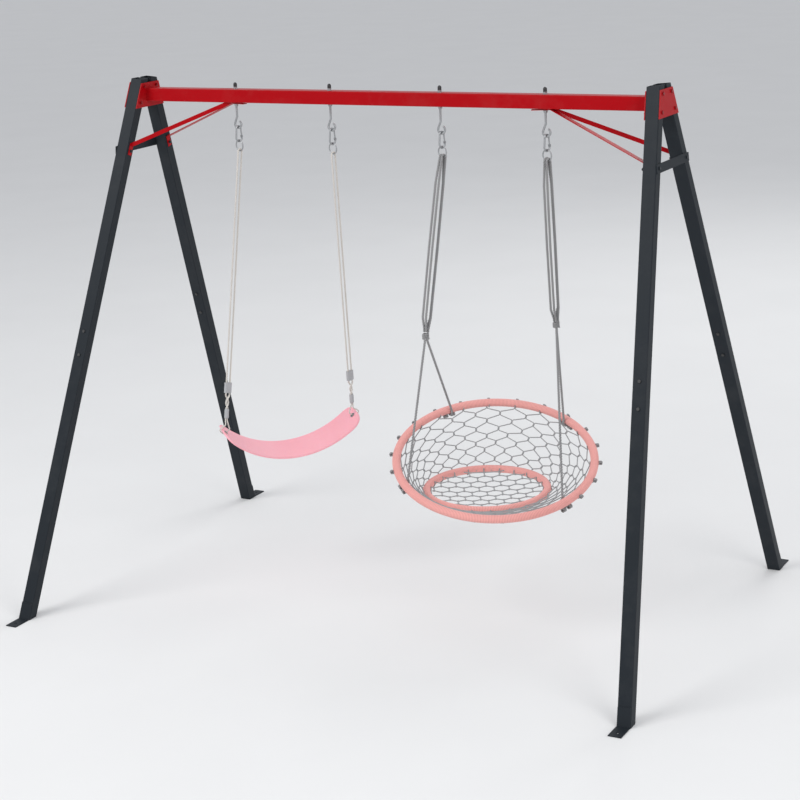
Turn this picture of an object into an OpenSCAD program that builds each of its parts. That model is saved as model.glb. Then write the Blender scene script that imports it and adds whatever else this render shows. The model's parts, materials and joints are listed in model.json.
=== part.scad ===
// Garden swing set: two splayed leg pairs, a square beam, a belt seat and a round net seat.
// Millimetres. +X runs along the beam, -Y is the front, +Z is up.
// The origin is on the ground, under the middle of the beam.

/* [Frame] */
// Height of the leg tops above the ground
frame_height = 2400; // [2200:10:2600]
// Distance between the two leg pairs at the top
top_span = 2570; // [2300:10:2900]
// Outward lean of each leg pair along the beam, in degrees
side_lean = 5; // [2:0.5:8]
// Distance between the front and back feet
foot_depth = 1904; // [1500:10:2200]
// Distance between the front and back leg axes at the top
top_gap = 70; // [60:1:100]

/* [Legs] */
// Width of the leg tube, along the beam
leg_w = 60; // [50:1:80]
// Depth of the leg tube
leg_d = 50; // [40:1:70]
// Wall of the leg tube
leg_wall = 2; // [1.5:0.1:4]
// Outer corner radius of the square tubes
tube_corner = 4; // [2:0.5:8]
// Height of the joint between upper and lower leg
leg_joint_height = 1335; // [900:5:1600]
// Length of the joining sleeve above the leg joint
sleeve_up = 150; // [80:5:300]
// Length of the joining sleeve below the leg joint
sleeve_down = 230; // [200:5:320]
// Gap between the sleeve and the leg wall, each side
sleeve_gap = 0.2; // [0.1:0.05:0.6]
// Distance from the leg joint to the first splice bolt
splice_first = 72; // [40:1:80]
// Distance between the two splice bolts
splice_pitch = 112; // [60:1:112]

/* [Beam and plates] */
// Side of the square beam tube
beam_side = 60; // [50:1:80]
// Wall of the beam tube
beam_wall = 2.5; // [1.5:0.1:4]
// Distance from the leg tops down to the beam axis
beam_drop = 76; // [70:1:90]
// Thickness of the end plates
plate_t = 4; // [3:0.5:8]
// Distance from the leg tops to the top edge of the end plates
plate_top = 17; // [10:1:22]
// Distance from the leg tops to the bottom edge of the end plates
plate_bottom = 130; // [122:1:160]
// Distance from the leg tops to the upper plate bolts
plate_bolt_high = 34; // [30:1:38]
// Distance from the leg tops to the lower plate bolts
plate_bolt_low = 107; // [100:1:110]

/* [Spreaders and braces] */
// Distance from the leg tops to the spreader bolts
spreader_drop = 323; // [260:1:420]
// Height of the spreader bar
spreader_h = 38; // [30:1:60]
// Thickness of the spreader bar
spreader_t = 4; // [3:0.5:8]
// Width of the brace strip
brace_w = 25; // [20:1:32]
// Thickness of the brace strip
brace_t = 3; // [2.5:0.1:3.2]
// How far the brace tip runs past its hook
brace_tip = 60; // [20:1:80]

/* [Fasteners] */
// Diameter of the frame bolts
bolt_dia = 8; // [6:1:10]
// Clearance of a bolt in its hole, on the diameter
bolt_gap = 0.6; // [0.4:0.1:1.5]
// Width across the flats of the bolt heads and nuts
bolt_flats = 13; // [10:1:17]
// Height of a bolt head
head_h = 5; // [4:0.5:8]
// Height of a nut
nut_h = 6.5; // [5:0.5:10]

/* [Feet] */
// Length of the ground tab of a foot bracket, out from the leg
foot_tab_l = 96; // [60:1:140]
// Width of the foot bracket
foot_tab_w = 56; // [40:1:60]
// Thickness of the foot bracket
foot_tab_t = 4; // [3:0.5:8]
// Length of the upright leaf of the foot bracket
foot_leaf_h = 70; // [50:1:150]
// Diameter of the ground anchor hole
anchor_dia = 12; // [8:0.5:16]
// Distance from the leg to the ground anchor hole
anchor_out = 60; // [40:1:90]

/* [Hooks] */
// Distance between the two hooks of one swing
hook_pitch = 500; // [450:5:550]
// Distance between the two swings, at their middles
swing_pitch = 1054; // [1000:2:1100]
// Diameter of the hook rod
hook_dia = 10; // [8:1:12]
// Distance from the beam to the middle of the hook's eye
hook_eye_drop = 102; // [90:1:130]
// Radius of the hook's eye, to the middle of the rod
hook_eye_r = 17; // [16:0.5:20]
// Sideways offset of the eye from the shank
hook_eye_x = 3; // [0:0.5:5]
// Length of the straight shank under the beam
hook_shank = 66; // [50:1:70]
// Height of a hook nut
hook_nut_h = 8; // [6:0.5:10]
// Width across the flats of a hook nut
hook_nut_flats = 17; // [15:1:19]
// Diameter of the dome cap
cap_dia = 17; // [15:1:22]
// Height of the dome cap
cap_h = 20; // [16:1:26]

/* [Snap links and rings] */
// Rod diameter of the snap link
link_dia = 8; // [6:0.5:8]
// Radius of the link's upper bend, to the middle of the rod
link_top_r = 12; // [12:0.5:13]
// Radius of the link's lower bend, to the middle of the rod
link_low_r = 16; // [14:0.5:20]
// Distance between the centres of the two bends
link_reach = 44; // [40:1:60]
// Diameter of the gate rod
gate_dia = 6.4; // [5:0.2:7]
// Radius of the ring, to the middle of its rod
ring_r = 25; // [24:0.5:35]
// Rod diameter of the ring
ring_dia = 6; // [5:0.5:8]
// Turn of the hanging hardware about the vertical, in degrees
hang_turn = -20; // [-30:1:0]
// Running gap between hanging pieces
hang_gap = 0.35; // [0.3:0.05:0.5]

/* [Belt seat] */
// Distance between the two eyelets
belt_span = 632; // [560:2:680]
// Drop of the seat's middle below the eyelets
belt_sag = 134; // [80:1:150]
// Width of the belt
belt_w = 175; // [120:1:200]
// Thickness of the belt
belt_t = 8; // [5:0.5:12]
// Length of belt beyond each eyelet
belt_end = 26; // [20:1:30]
// Height of the eyelets above the ground
belt_height = 770; // [600:10:900]
// Middle of the belt along the beam, from the middle of its hooks
belt_shift = -63; // [-80:1:0]
// Turn of the hanging seat about the vertical, in degrees
belt_turn = 48; // [0:1:60]
// Tip of the belt about its eyelets, near edge down
belt_tip = 12; // [0:1:20]
// Rope diameter of the belt swing
belt_rope_dia = 9; // [7:0.5:9]
// Distance between the two strands of a belt rope
belt_strand_gap = 20; // [18:0.5:22]
// Diameter of the lower rope loop
belt_loop_dia = 7; // [5:0.5:8]
// Inner diameter of the eyelets
eyelet_dia = 15; // [14:0.5:18]
// Height of the ferrule's middle above the eyelet
ferrule_up = 92; // [80:1:120]
// Length of the ferrule
ferrule_l = 46; // [35:1:60]
// Diameter of the ferrule
ferrule_dia = 21; // [20:1:26]
// Distance from the eyelet to the adjuster's middle
adjuster_up = 215; // [200:5:400]
// Length of the rope adjuster
adjuster_l = 48; // [30:1:60]
// Thickness of the rope adjuster
adjuster_t = 15; // [13:0.5:20]

/* [Net seat] */
// Radius of the outer ring, to the middle of its tube
nest_r = 446; // [350:1:500]
// Diameter of the padded outer ring
nest_tube = 38; // [30:1:50]
// Radius of the floor ring, to the middle of its tube
floor_r = 273; // [200:1:300]
// Diameter of the padded floor ring
floor_tube = 36; // [28:1:44]
// Height of the middle of the outer ring
nest_height = 716; // [650:2:800]
// Drop from the outer ring's middle to the floor ring
nest_depth = 134; // [110:1:180]
// Distance that the floor ring hangs towards the front
floor_forward = 26; // [0:1:60]
// How far the floor ring sits towards the seat's right
floor_side = -43; // [-50:1:50]
// Middle of the net seat along the beam, from the middle of its hooks
nest_shift = -36; // [-60:1:0]
// Turn of the net seat about the vertical, in degrees
nest_turn = 29; // [0:1:45]
// Forward tilt of the outer ring, in degrees
nest_tilt = 19; // [0:1:22]
// Forward tilt of the floor ring, in degrees
floor_tilt = 2; // [0:0.5:6]
// Height of the rope knots
knot_height = 1310; // [1150:5:1400]
// Distance between the left and right rope knots
knot_span = 596; // [500:2:640]
// Turn of the line through the knots about the vertical, in degrees
knot_turn = 40; // [0:1:45]
// Diameter of a rope knot
knot_dia = 34; // [28:1:40]
// Rope diameter of the net swing
nest_rope_dia = 12; // [7:0.5:12]
// Number of cord knots round the outer ring
ring_knots = 22; // [12:1:30]
// Thickness of the net
net_t = 3; // [2:0.5:5]

/* [Hidden] */
LEFT = -1;
RIGHT = 1;
FRONT = -1;
BACK = 1;
$fn = 48;

SIDES = [LEFT, RIGHT];
FACES = [FRONT, BACK];
BIG = 4000;
touch = 0.1;                      // lift between stacked hanging pieces

// Leg geometry
slope_len = frame_height / cos(side_lean);
leg_tilt = atan((foot_depth - top_gap) / 2 / slope_len);
leg_len = slope_len / cos(leg_tilt);
foot_x = top_span / 2 + frame_height * tan(side_lean);
leg_run = cos(side_lean) * cos(leg_tilt);   // height lost per unit along the leg
joint_at = (frame_height - leg_joint_height) / leg_run;
splice_at = [joint_at + splice_first, joint_at + splice_first + splice_pitch];
bolt_hole = bolt_dia + bolt_gap;
leg_half_y = leg_d / 2 / cos(leg_tilt);     // half depth of a leg, cut level

function axis_y(drop) = top_gap / 2 + drop * tan(leg_tilt);
function edge_y(drop) = axis_y(drop) + leg_half_y;

// Beam and hooks
beam_z = frame_height - beam_drop;
beam_low = beam_z - beam_side / 2;
beam_top = beam_z + beam_side / 2;
belt_x = -swing_pitch / 2;
nest_x = swing_pitch / 2;
hook_xs = [belt_x - hook_pitch / 2, belt_x + hook_pitch / 2,
           nest_x - hook_pitch / 2, nest_x + hook_pitch / 2];
eye_xs = [for (x = hook_xs) x + hook_eye_x];
brace_seat = 4;                   // pitch of the two stacked brace tabs
washer_t = 2;
washer_dia = 22;
hook_eye_z = beam_low - hook_eye_drop;
pivot_z = hook_eye_z - hook_eye_r; // the hooks' lowest rod axis, where the swings turn
hook_tip_angle = 50;              // where the hook's tip ends, above level
eye_reach = sqrt(pow(hook_eye_x, 2) + pow(hook_eye_drop - hook_shank, 2));
eye_tangent = 180 - atan((hook_eye_drop - hook_shank) / hook_eye_x)
              + acos(hook_eye_r / eye_reach);

// Snap link, measured from the pivot
link_wire = link_dia / 2;
link_a = hook_dia / 2 + hang_gap - (link_top_r - link_wire);
link_b = link_a - link_reach;
link_angle = asin((link_low_r - link_top_r) / link_reach);
link_side = link_reach * cos(link_angle);
gate_pivot_up = 8;                // from the lower bend to the gate pin
gate_nose = 5;                    // length of the link's nose
gate_pin_dia = 3;
gate_cheek_t = 1.2;
gate_cheek_gap = 0.3;
gate_knuckle_w = 7;
gate_knuckle_r = 3.9;
link_low_z = link_b - link_low_r; // axis of the link's lower bend
ring_z = link_low_z + link_wire + ring_dia / 2 + touch - ring_r;
ring_low = ring_z - ring_r;

// Directions
function flat_dir(a) = [cos(a), sin(a), 0];
function unit(v) = v / norm(v);
strand_dir = flat_dir(hang_turn + 90);
belt_dir = flat_dir(belt_turn);
belt_up = [0, 0, cos(belt_tip)] - sin(belt_tip) * flat_dir(belt_turn + 90);
knot_dir = flat_dir(knot_turn);
nest_right = flat_dir(nest_turn);
nest_front = flat_dir(nest_turn - 90);

function hang_point(i) = [eye_xs[i], 0, pivot_z + ring_low];

// Belt seat
belt_mid = [belt_x + belt_shift, 0, belt_height];
belt_radius = (pow(belt_span / 2, 2) + pow(belt_sag, 2)) / 2 / belt_sag;
belt_angle = asin(belt_span / 2 / belt_radius);
end_angle = belt_end / belt_radius * 180 / PI;
eyelet_r = eyelet_dia / 2;
eyelet_wall = 2;
eyelet_flange = 4;
eyelet_lip = 1.5;                 // how far the eyelet's flange stands above the belt
belt_end_r = 58;                  // corner radius of the belt's ends
function eyelet_at(s) = belt_mid + s * belt_span / 2 * belt_dir;

// Net seat
nest_mid = [nest_x + nest_shift, 0, nest_height];
floor_mid = nest_mid + floor_forward * nest_front + floor_side * nest_right - [0, 0, nest_depth];
function tilted_front(a) = nest_front * cos(a) - [0, 0, sin(a)];
function ring_point(c, r, tilt, a) = c + r * (cos(a) * nest_right + sin(a) * tilted_front(tilt));
knot_mid = [nest_x + nest_shift, 0, knot_height];
function knot_at(s) = knot_mid + s * knot_span / 2 * knot_dir;
rope_angles = [[160, LEFT], [245, LEFT], [322, RIGHT], [50, RIGHT]];
knot_bead_r = 7.5;
knot_under = 120;                 // turn of the front knots from the ring's outside to beneath it
net_gap = 0.35;                   // between the net's edge and the ring covers
nest_lift = 3.2;                  // how far the two loops ride up the round inside of the ring
wall_steps = 80;

red = [0.67, 0.0, 0.07];
charcoal = [0.2, 0.22, 0.25];
zinc = [0.7, 0.71, 0.72];
black = [0.05, 0.05, 0.06];
cream = [0.9, 0.89, 0.86];
grey = [0.68, 0.68, 0.68];
pink = [0.97, 0.7, 0.75];
salmon = [0.98, 0.72, 0.69];

// ---- Placing ----

// A leg pair's own plane: +X outward, +Z up along the lean, origin between the leg tops.
module in_side(side) {
    mirror([side == LEFT ? 1 : 0, 0, 0]) right_side() children();
}

// One leg's own axis: origin at its top, -Z down the leg.
module in_leg(side, face) {
    in_side(side) translate([0, face * top_gap / 2, 0]) rotate([face * leg_tilt, 0, 0]) children();
}

module above_ground() {
    difference() {
        children();
        translate([-BIG / 2, -BIG / 2, -BIG]) cube([BIG, BIG, BIG]);
    }
}

// Hanging hardware of one hook: origin on the hook's lowest rod axis.
module at_pivot(i) {
    translate([eye_xs[i], 0, pivot_z]) rotate([0, 0, hang_turn]) children();
}

// A cylinder between two points.
module rod(a, b, r) {
    d = b - a;
    translate(a)
        rotate([0, acos(d[2] / norm(d)), atan2(d[1], d[0])])
            cylinder(r = r, h = norm(d));
}

module rounded_rect(w, d, r) {
    square([w - 2 * r, d], center = true);
    square([w, d - 2 * r], center = true);
    for (x = [-1, 1], y = [-1, 1])
        translate([x * (w / 2 - r), y * (d / 2 - r)]) circle(r);
}

module hollow_rect(w, d, wall, r) {
    difference() {
        rounded_rect(w, d, r);
        rounded_rect(w - 2 * wall, d - 2 * wall, max(r - wall, 0.5));
    }
}

module hexagon(flats, h) { cylinder(d = flats / cos(30), h = h, $fn = 6); }

// A round tube swept along points that lie in one plane, whose normal is n.
function tangent(p, i) = unit(p[min(i + 1, len(p) - 1)] - p[max(i - 1, 0)]);
module swept(p, n, r, sides = 8) {
    rings = len(p);
    points = [for (i = [0:rings - 1], k = [0:sides - 1])
        p[i] + r * (cos(360 * k / sides) * n + sin(360 * k / sides) * cross(tangent(p, i), n))];
    walls = [for (i = [0:rings - 2], k = [0:sides - 1])
        let (a = i * sides + k, b = i * sides + (k + 1) % sides)
            each [[a, a + sides, b], [b, a + sides, b + sides]]];
    first = [[for (k = [0:sides - 1]) k]];
    last = [[for (k = [sides - 1:-1:0]) (rings - 1) * sides + k]];
    polyhedron(points, concat(walls, first, last), convexity = 6);
}

// ---- Frame ----

module beam() {
    color(red) difference() {
        translate([-top_span / 2, 0, beam_z]) rotate([90, 0, 90]) linear_extrude(top_span)
            hollow_rect(beam_side, beam_side, beam_wall, tube_corner);
        for (side = SIDES) in_side(side)
            translate([-leg_w / 2 - plate_t, -beam_side, -2 * beam_drop - beam_side])
                cube([leg_w * 2, 2 * beam_side, 2 * beam_drop + 2 * beam_side]);
        for (x = hook_xs)
            translate([x, 0, beam_low - 1]) cylinder(d = hook_dia + bolt_gap, h = beam_side + 2);
    }
}

// A plate over both legs of a pair, its slanted edges in line with the legs' outer edges.
module end_plate(side, x) {
    color(red) in_side(side) difference() {
        translate([x, 0, 0]) rotate([90, 0, 90]) linear_extrude(plate_t) polygon([
            [-edge_y(plate_top), -plate_top], [edge_y(plate_top), -plate_top],
            [edge_y(plate_bottom), -plate_bottom], [-edge_y(plate_bottom), -plate_bottom]]);
        plate_bolt_places() translate([x - 1, 0, 0]) rotate([0, 90, 0])
            cylinder(d = bolt_hole, h = plate_t + 2);
    }
}

module plate_bolt_places() {
    for (face = FACES, drop = [plate_bolt_high, plate_bolt_low])
        translate([0, face * axis_y(drop), -drop]) children();
}

module spreader_bolt_places() {
    for (face = FACES) translate([0, face * axis_y(spreader_drop), -spreader_drop]) children();
}

module cross_holes(side) {
    in_side(side) {
        plate_bolt_places() translate([-leg_w, 0, 0]) rotate([0, 90, 0])
            cylinder(d = bolt_hole, h = 2 * leg_w);
        spreader_bolt_places() translate([-leg_w, 0, 0]) rotate([0, 90, 0])
            cylinder(d = bolt_hole, h = 2 * leg_w);
    }
}

module splice_holes() {
    for (s = splice_at) translate([0, -leg_d, -s]) rotate([-90, 0, 0])
        cylinder(d = bolt_hole, h = 2 * leg_d);
}

module leg_upper(side, face) {
    color(charcoal) difference() {
        in_leg(side, face) translate([0, 0, -joint_at]) linear_extrude(joint_at + leg_d)
            hollow_rect(leg_w, leg_d, leg_wall, tube_corner);
        in_side(side) translate([-leg_w, -BIG / 8, 0]) cube([2 * leg_w, BIG / 4, 2 * leg_d]);
        cross_holes(side);
    }
}

module leg_lower(side, face) {
    color(charcoal) above_ground() difference() {
        in_leg(side, face) translate([0, 0, -leg_len - leg_d])
            linear_extrude(leg_len + leg_d - joint_at)
                hollow_rect(leg_w, leg_d, leg_wall, tube_corner);
        in_leg(side, face) splice_holes();
    }
}

module leg_sleeves() {
    color(charcoal) for (side = SIDES, face = FACES) in_leg(side, face) difference() {
        translate([0, 0, -joint_at - sleeve_down]) linear_extrude(sleeve_up + sleeve_down)
            hollow_rect(leg_w - 2 * (leg_wall + sleeve_gap), leg_d - 2 * (leg_wall + sleeve_gap),
                        leg_wall, tube_corner - leg_wall);
        splice_holes();
    }
}

// An angle welded to the outward face of a leg, with one hole for a ground anchor.
module foot_bracket(side, face) {
    color(charcoal) above_ground() difference() {
        union() {
            in_leg(side, face) mirror([0, face == FRONT ? 1 : 0, 0])
                translate([-foot_tab_w / 2, leg_d / 2, -leg_len - leg_d])
                    cube([foot_tab_w, foot_tab_t, foot_leaf_h + leg_d]);
            mirror([0, face == FRONT ? 1 : 0, 0])
                translate([side * foot_x - foot_tab_w / 2,
                           foot_depth / 2 + leg_half_y + foot_tab_t / 3, 0])
                    cube([foot_tab_w, foot_tab_l - foot_tab_t / 3, foot_tab_t]);
        }
        translate([side * foot_x, face * (foot_depth / 2 + leg_half_y + anchor_out), -1])
            cylinder(d = anchor_dia, h = foot_tab_t + 2);
    }
}

module spreader(side) {
    half = edge_y(spreader_drop);
    color(charcoal) in_side(side) difference() {
        translate([leg_w / 2, 0, -spreader_drop]) rotate([90, 0, 90]) linear_extrude(spreader_t)
            rounded_rect(2 * half, spreader_h, tube_corner);
        spreader_bolt_places() translate([leg_w / 2 - 1, 0, 0]) rotate([0, 90, 0])
            cylinder(d = bolt_hole, h = spreader_t + 2);
    }
}

// A strip from under the outer hook to the inner face of one leg, where its tab is bolted. The front
// left and back right strips stand on edge; the other two are bent on the flat.
module brace(side, face) {
    on_edge = (side == LEFT) == (face == FRONT);
    hook_x = side == LEFT ? -hook_xs[0] : hook_xs[3];
    seat_z = beam_low - (face == FRONT ? 0 : brace_seat) - brace_t / 2;
    end = brace_leg_point(face);
    run = norm([end[0] - hook_x, end[1]]);
    plan = atan2(end[1], end[0] - hook_x);
    tab = brace_w * (face == FRONT || on_edge ? 1.3 : 0.8);
    slope = atan((seat_z - end[2]) / (run - tab));
    half = brace_t / 2;
    miter = half * tan(slope / 2);
    past = run + brace_w / 2;
    fall = (past - tab) * tan(slope);
    deep = 0.375 * brace_w / cos(slope);
    root = half - 0.4;
    color(red) mirror([side == LEFT ? 1 : 0, 0, 0]) difference() {
        union() {
            translate([hook_x, 0, seat_z]) rotate([0, 0, plan]) rotate([90, 0, 0])
                if (on_edge) {
                    linear_extrude(brace_w, center = true)
                        polygon([[-brace_tip, half], [tab, half], [tab, -half], [-brace_tip, -half]]);
                    linear_extrude(brace_t, center = true) polygon([
                        [tab - 8, root], [tab + deep / tan(slope) - root / tan(slope), root],
                        [past, deep - fall], [past, -deep - fall],
                        [tab + 2, -deep - 2 * tan(slope)], [tab - 8, -root]]);
                } else linear_extrude(brace_w, center = true) polygon([
                    [-brace_tip, half], [tab + miter, half],
                    [past + half * sin(slope), -fall + half * cos(slope)],
                    [past - half * sin(slope), -fall - half * cos(slope)],
                    [tab - miter, -half], [-brace_tip, -half]]);
            right_side() translate([-leg_w / 2 - brace_t, face * axis_y(spreader_drop), -spreader_drop])
                rotate([face * leg_tilt, 0, 0]) translate([0, -brace_w / 2, -brace_w * 0.8])
                    cube([brace_t, brace_w, brace_w * 2.2]);
        }
        translate([hook_x, 0, seat_z - brace_t]) cylinder(d = hook_dia + bolt_gap, h = 2 * brace_t);
        right_side() translate([-leg_w / 2, -BIG / 4, -BIG / 4]) cube([leg_w, BIG / 2, BIG / 4]);
        right_side() translate([-leg_w / 2 - 2 * brace_t, face * axis_y(spreader_drop), -spreader_drop])
            rotate([0, 90, 0]) cylinder(d = bolt_hole, h = 3 * brace_t);
    }
}

module right_side() { translate([top_span / 2, 0, frame_height]) rotate([0, -side_lean, 0]) children(); }

// Where a brace strip reaches the tab on the right-hand leg's inner face.
function brace_leg_point(face) =
    let (x = -leg_w / 2 - brace_t / 2, drop = spreader_drop - brace_w * 1.1)
        [top_span / 2 + x * cos(side_lean) + drop * sin(side_lean),
         face * axis_y(drop),
         frame_height + x * sin(side_lean) - drop * cos(side_lean)];

// ---- Fasteners ----

// A hex bolt: its head on the +X side of "from", the shank running to -X.
module hex_bolt(shank) {
    rotate([0, 90, 0]) {
        hexagon(bolt_flats, head_h);
        translate([0, 0, -shank]) cylinder(d = bolt_dia, h = shank + head_h / 2);
    }
}

module nut(flats, h, hole) {
    difference() {
        hexagon(flats, h);
        translate([0, 0, -1]) cylinder(d = hole, h = h + 2);
    }
}

bolt_tail = 3;
module frame_bolts() {
    stack = leg_w + 2 * plate_t;
    color(zinc) for (side = SIDES) in_side(side) {
        plate_bolt_places() translate([leg_w / 2 + plate_t, 0, 0])
            hex_bolt(stack + nut_h + bolt_tail);
        spreader_bolt_places() translate([leg_w / 2 + spreader_t, 0, 0])
            hex_bolt(leg_w + spreader_t + brace_t + nut_h + bolt_tail);
    }
}

module frame_nuts() {
    color(zinc) for (side = SIDES) in_side(side) {
        plate_bolt_places() translate([-leg_w / 2 - plate_t, 0, 0]) rotate([0, -90, 0])
            nut(bolt_flats, nut_h, bolt_dia);
        spreader_bolt_places() translate([-leg_w / 2 - brace_t, 0, 0]) rotate([0, -90, 0])
            nut(bolt_flats, nut_h, bolt_dia);
    }
}

module splice_bolts() {
    color(black) for (side = SIDES, face = FACES, s = splice_at) in_leg(side, face)
        translate([0, -leg_d / 2, -s]) rotate([0, 0, -90])
            hex_bolt(leg_d + nut_h + bolt_tail);
}

module splice_nuts() {
    color(zinc) for (side = SIDES, face = FACES, s = splice_at) in_leg(side, face)
        translate([0, leg_d / 2, -s]) rotate([-90, 0, 0]) nut(bolt_flats, nut_h, bolt_dia);
}

// ---- Hooks ----

function under_beam(i) = beam_low - (i == 0 || i == 3 ? 2 * brace_seat : 0);

module hook(i) {
    shank_low = beam_low - hook_shank;
    eye = [hook_xs[i] + hook_eye_x, 0, hook_eye_z];
    rod_r = hook_dia / 2 - 0.1;
    turns = 26;
    sweep = 360 - eye_tangent + hook_tip_angle;
    color(zinc) {
        translate([hook_xs[i], 0, shank_low + 2])
            cylinder(d = hook_dia, h = beam_top + washer_t + hook_nut_h + 1 - shank_low);
        swept(concat([[hook_xs[i], 0, shank_low + 8], [hook_xs[i], 0, shank_low]],
                     [for (k = [0:turns]) let (a = eye_tangent + sweep * k / turns)
                         eye + hook_eye_r * [cos(a), 0, sin(a)]]),
              [0, 1, 0], rod_r, 12);
    }
}

module hook_nuts() {
    color(zinc) for (i = [0:3]) {
        translate([hook_xs[i], 0, beam_top + washer_t]) nut(hook_nut_flats, hook_nut_h, hook_dia);
        translate([hook_xs[i], 0, under_beam(i) - washer_t - hook_nut_h])
            nut(hook_nut_flats, hook_nut_h, hook_dia);
    }
}

module hook_washers() {
    color(zinc) for (i = [0:3], z = [beam_top, under_beam(i) - washer_t])
        translate([hook_xs[i], 0, z]) difference() {
            cylinder(d = washer_dia, h = washer_t);
            translate([0, 0, -1]) cylinder(d = hook_dia + bolt_gap, h = washer_t + 2);
        }
}

module hook_caps() {
    low = beam_top + washer_t + hook_nut_h;
    color(black) for (x = hook_xs) translate([x, 0, low]) difference() {
        union() {
            cylinder(d = cap_dia, h = cap_h - cap_dia / 2);
            translate([0, 0, cap_h - cap_dia / 2]) sphere(d = cap_dia);
        }
        translate([0, 0, -BIG]) cylinder(d = 2 * cap_dia, h = BIG);
        translate([0, 0, -1]) cylinder(d = hook_dia + 0.2, h = 4 + 0.4);
    }
}

// ---- Snap links and rings ----

// The gate's line: origin at the lower bend's tangent point, +Z up along the gate side.
module in_gate() {
    translate([0, link_low_r * cos(link_angle), link_b + link_low_r * sin(link_angle)])
        rotate([link_angle, 0, 0]) children();
}

module snap_link(i) {
    cheek_x = gate_knuckle_w / 2 + gate_cheek_gap;
    stub = gate_pivot_up - gate_knuckle_r - gate_cheek_gap;
    up = [0, -sin(link_angle), cos(link_angle)];
    gate_low = [0, link_low_r * cos(link_angle), link_b + link_low_r * sin(link_angle)];
    turn = 180 - 2 * link_angle;
    low_turn = 180 + 2 * link_angle;
    color(zinc) at_pivot(i) {
        swept(concat([gate_low + (link_side - gate_nose) * up],
                     [for (k = [0:12]) let (a = link_angle + turn * k / 12)
                         [0, link_top_r * cos(a), link_a + link_top_r * sin(a)]],
                     [for (k = [0:10]) let (a = 180 - link_angle + low_turn * k / 10)
                         [0, link_low_r * cos(a), link_b + link_low_r * sin(a)]],
                     [gate_low + stub * up]),
              [1, 0, 0], link_wire, 12);
        in_gate() {
            for (s = [-1, 1])
                translate([s * (cheek_x + gate_cheek_t / 2) - gate_cheek_t / 2, 0, gate_pivot_up])
                    rotate([90, 0, 90]) linear_extrude(gate_cheek_t) {
                        circle(3.6);
                        translate([-3.6, -gate_pivot_up]) square([7.2, gate_pivot_up]);
                    }
            translate([-cheek_x - gate_cheek_t / 2, -2.6, 0.2])
                cube([2 * cheek_x + gate_cheek_t, 5.2, stub - 0.4]);
            translate([0, 0, gate_pivot_up]) rotate([0, 90, 0])
                cylinder(d = gate_pin_dia, h = 2 * cheek_x + gate_cheek_t, center = true);
        }
    }
}

module snap_gate(i) {
    gate_l = link_side - gate_nose - gate_cheek_gap - gate_pivot_up;
    color(zinc) at_pivot(i) in_gate() translate([0, 0, gate_pivot_up]) difference() {
        union() {
            cylinder(d = gate_dia, h = gate_l);
            rotate([0, 90, 0]) cylinder(r = gate_knuckle_r, h = gate_knuckle_w, center = true);
        }
        rotate([0, 90, 0])
            cylinder(d = gate_pin_dia + 0.12, h = gate_knuckle_w + 2, center = true);
    }
}

module ring(i) {
    at_pivot(i) translate([0, 0, ring_z]) rotate([90, 0, 0])
        rotate_extrude() translate([ring_r, 0]) circle(d = ring_dia);
}

module belt_rings() { color(zinc) for (i = [0, 1]) ring(i); }
module nest_rings() { color(zinc) for (i = [2, 3]) ring(i); }

// ---- Belt swing ----

function rope_dir(i) = unit(eyelet_at(i == 0 ? LEFT : RIGHT) - hang_point(i));
function rope_side(u) = unit(strand_dir - (strand_dir * u) * u);
function rope_len(i) = norm(eyelet_at(i == 0 ? LEFT : RIGHT) - hang_point(i));

// Points of a strand loop: up one side, over the ring's lowest rod and down the other side.
function over_ring(top, u, v, half, rope_r, lift, low) =
    let (c = top + (half - rope_r - ring_dia / 2 - lift) * u)
        concat([for (s = low) top + s[0] * u - s[1] * v],
               [for (a = [0:22.5:180]) c - half * (cos(a) * v + sin(a) * u)],
               [for (k = [len(low) - 1:-1:0]) top + low[k][0] * u + low[k][1] * v]);

module belt_rope(i) {
    s = i == 0 ? LEFT : RIGHT;
    u = rope_dir(i);
    v = rope_side(u);
    r = belt_rope_dia / 2;
    half = belt_strand_gap / 2;
    ferrule_top = rope_len(i) - ferrule_up - ferrule_l / 2;
    part_end = rope_len(i) - adjuster_up + adjuster_l / 2 + 4;
    color(cream) {
        swept(over_ring(hang_point(i), u, v, half, r, 0.4,
                        [[ferrule_top, r + 0.2], [ferrule_top - 8, r + 0.2], [part_end, half],
                         [part_end / 2, half]]),
              cross(u, v), r, 10);
        eyelet_loop(s, i);
    }
}

// The lower loop: down from the ferrule, through the eyelet and back up round the belt's end.
module eyelet_loop(s, i) {
    g = eyelet_at(s);
    u = rope_dir(i);
    out = s * belt_dir * cos(belt_angle) + belt_up * sin(belt_angle);
    normal = -s * belt_dir * sin(belt_angle) + belt_up * cos(belt_angle);
    reach = belt_end + 8;
    under = belt_t / 2 + eyelet_lip + belt_loop_dia / 2 + 0.6;
    top = g - u * (ferrule_up - ferrule_l / 2 - hang_gap);
    side = 3.8 * unit(s * belt_dir - (s * belt_dir * u) * u);
    swept([top - side, top + 8 * u - side, g + 26 * normal, g + 10 * normal, g - 5 * normal,
           g - (under - 1.2) * normal + 1.6 * out, g - under * normal + 5 * out,
           g - under * normal + (reach - 6) * out, g - (under - 1.6) * normal + (reach - 1.5) * out,
           g - 4 * normal + reach * out, g + 8 * normal + (reach + 1) * out,
           g + 26 * normal + (reach - 4) * out, top + 8 * u + side, top + side],
          flat_dir(belt_turn + 90) * s, belt_loop_dia / 2, 8);
}

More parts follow.
